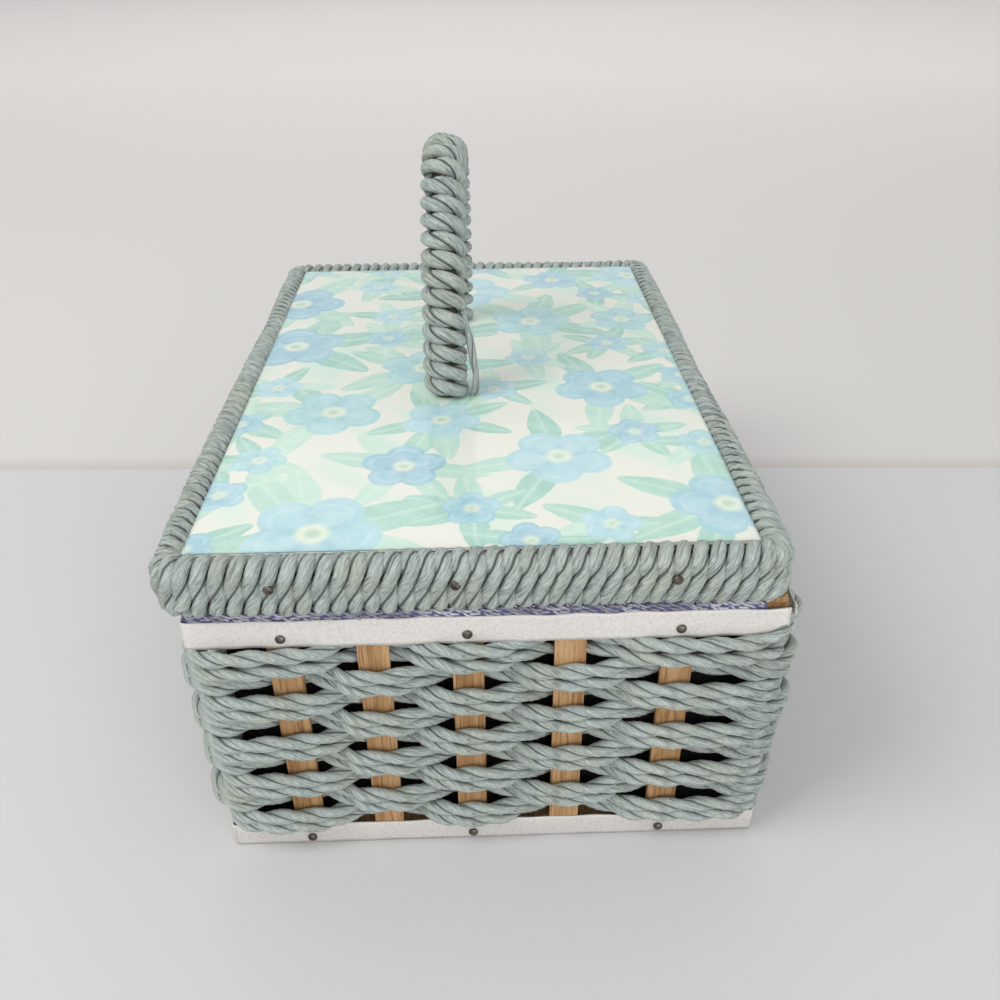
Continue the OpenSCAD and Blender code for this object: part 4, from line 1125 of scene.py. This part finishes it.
class BASKET_OT_handle(bpy.types.Operator):
    """Arched wooden handle wound with cord, its loose end, screws and washers"""
    bl_idname = "basket.handle"
    bl_label = "Handle"

    def execute(self, context):
        z = context.scene.basket_sizes
        dressed("handle_core", material("dark_wood"))
        r = CORE_R + 0.75 * MM
        lead = 3.2 * MM
        n = z.handle_turns
        per = 28
        u = np.arange(n * per + 1) / per
        rng = np.random.default_rng(8)
        jitter = np.interp(u, np.arange(n + 2), rng.normal(0, 0.3 * MM, n + 2))
        s = lead + (ARCH_LEN - 2 * lead) * u / n + jitter * np.clip(u, 0, 1) * np.clip(n - u, 0, 1)
        fall = np.linspace(-1.2 * MM, lead, 6)[:-1]
        s = np.concatenate([fall, s, ARCH_LEN - fall[::-1]])
        ends = 0.02 * np.arange(1, 6)
        turn = 2 * np.pi * np.concatenate([-ends[::-1], u, n + ends])
        middle, out = arch(s)
        radial = np.cos(turn)[:, None] * np.array([1.0, 0, 0]) + np.sin(turn)[:, None] * out
        line, facing = at_handle(middle + r * radial), at_handle(radial, True)
        cord("handle_cord", [line], [facing], n * HANDLE_TWISTS + 0.25, z.wrap_ply * 1.05, 1.1 * MM, 1 * MM,
             "rim_cord", "lid", ["handle_wrap"])
        t = np.linspace(0, 1, 26)
        up = -0.6 * MM + 33 * MM * t
        middle, out = arch(up)
        push = np.interp(t, [0, 0.12, 0.3, 0.5, 0.75, 1], [10.2, 11.6, 11.8, 10.6, 9.4, 6.5]) * MM
        side = np.array([1.0, 0, 0]) + 0.25 * out
        side /= np.linalg.norm(side, axis=1)[:, None]
        line = at_handle(middle + push[:, None] * side)
        cord("handle_loose_end", [line], [at_handle(side, True)], 1.0, 1.15 * MM, 0.5 * MM, 1 * MM,
             "rim_cord", "lid")
        for node in ("handle_screws", "handle_washers"):
            softened(node, "lid", material("zinc"), 0.15)
        return {"FINISHED"}


class BASKET_OT_hardware(bpy.types.Operator):
    """Brass hinges and wire loop latch"""
    bl_idname = "basket.hardware"
    bl_label = "Hinges and latch"

    def execute(self, context):
        for node, body in (("hinge_lower_leaves", "basket"), ("hinge_upper_leaves", "lid"),
                           ("hinge_pins", "basket"), ("latch_bracket", "lid"), ("latch_stud", "basket"),
                           ("latch_loop", "latch")):
            softened(node, body, material("brass"), 0.16)
        return {"FINISHED"}


class BASKET_OT_tray(bpy.types.Operator):
    """Lift-out tray of ivory plastic with four bays"""
    bl_idname = "basket.tray"
    bl_label = "Tray"

    def execute(self, context):
        softened("tray", "tray", material("tray_plastic"), 0.7, 3)
        return {"FINISHED"}


class BASKET_OT_stage(bpy.types.Operator):
    """Pale floor, soft lights and the camera"""
    bl_idname = "basket.stage"
    bl_label = "Stage"

    def execute(self, context):
        mesh = bpy.data.meshes.new("floor")
        corners = [(x * FLOOR_HALF, y * FLOOR_HALF, 0) for x, y in ((-1, -1), (1, -1), (1, 1), (-1, 1))]
        mesh.from_pydata(corners, [], [(0, 1, 2, 3)])
        floor = link("floor", mesh)
        mesh.materials.append(material("floor"))
        world = context.scene.world or bpy.data.worlds.new("World")
        context.scene.world = world
        world.use_nodes = True
        back = world.node_tree.nodes["Background"]
        back.inputs[0].default_value, back.inputs[1].default_value = SKY, SKY_STRENGTH
        context.scene.view_settings.view_transform = "Standard"
        for name, place, target, width, energy, tint in LIGHTS:
            lamp = bpy.data.lights.new(name, "AREA")
            lamp.size, lamp.energy, lamp.color = width, energy, tint
            obj = bpy.data.objects.new(name, lamp)
            context.scene.collection.objects.link(obj)
            obj.location = place
            obj.rotation_euler = (Vector(target) - Vector(place)).to_track_quat("-Z", "Y").to_euler()
        lens = bpy.data.cameras.new("camera")
        lens.lens, lens.sensor_width, lens.sensor_fit = CAMERA_LENS, CAMERA_SENSOR, "HORIZONTAL"
        lens.clip_start = 0.01
        camera = bpy.data.objects.new("camera", lens)
        context.scene.collection.objects.link(camera)
        pitch, yaw, roll = CAMERA_PITCH, CAMERA_YAW, CAMERA_ROLL
        fwd = Vector((math.sin(yaw) * math.cos(pitch), math.cos(yaw) * math.cos(pitch), -math.sin(pitch)))
        right = Vector((math.cos(yaw), -math.sin(yaw), 0))
        up = right.cross(fwd)
        r2 = right * math.cos(roll) + up * math.sin(roll)
        u2 = up * math.cos(roll) - right * math.sin(roll)
        camera.matrix_world = Matrix.Translation(CAMERA_AT) @ Matrix((r2, u2, -fwd)).transposed().to_4x4()
        context.scene.camera = camera
        return {"FINISHED"}


STEPS = (BASKET_OT_stage, BASKET_OT_boards, BASKET_OT_weave, BASKET_OT_tapes, BASKET_OT_nails,
         BASKET_OT_braid, BASKET_OT_lining, BASKET_OT_lid_panel, BASKET_OT_rim_wrap, BASKET_OT_handle,
         BASKET_OT_hardware, BASKET_OT_tray)


class BASKET_PT_panel(bpy.types.Panel):
    """Lists the basket's sizes, colours and building steps"""
    bl_label = "Sewing basket"
    bl_idname = "BASKET_PT_panel"
    bl_space_type = "VIEW_3D"
    bl_region_type = "UI"
    bl_category = "Basket"

    def draw(self, context):
        for holder in (context.scene.basket_sizes, context.scene.basket_colours):
            for key in holder.__annotations__:
                self.layout.prop(holder, key)
        for step in STEPS:
            self.layout.operator(step.bl_idname)


CLASSES = (BasketSizes, BasketColours, *STEPS, BASKET_PT_panel)


def register():
    for one in CLASSES:
        bpy.utils.register_class(one)
    bpy.types.Scene.basket_sizes = PointerProperty(type=BasketSizes)
    bpy.types.Scene.basket_colours = PointerProperty(type=BasketColours)


def unregister():
    del bpy.types.Scene.basket_colours
    del bpy.types.Scene.basket_sizes
    for one in reversed(CLASSES):
        bpy.utils.unregister_class(one)


def main():
    register()
    for step in STEPS:
        area, name = step.bl_idname.split(".")
        getattr(getattr(bpy.ops, area), name)()


if __name__ == "__main__":
    main()
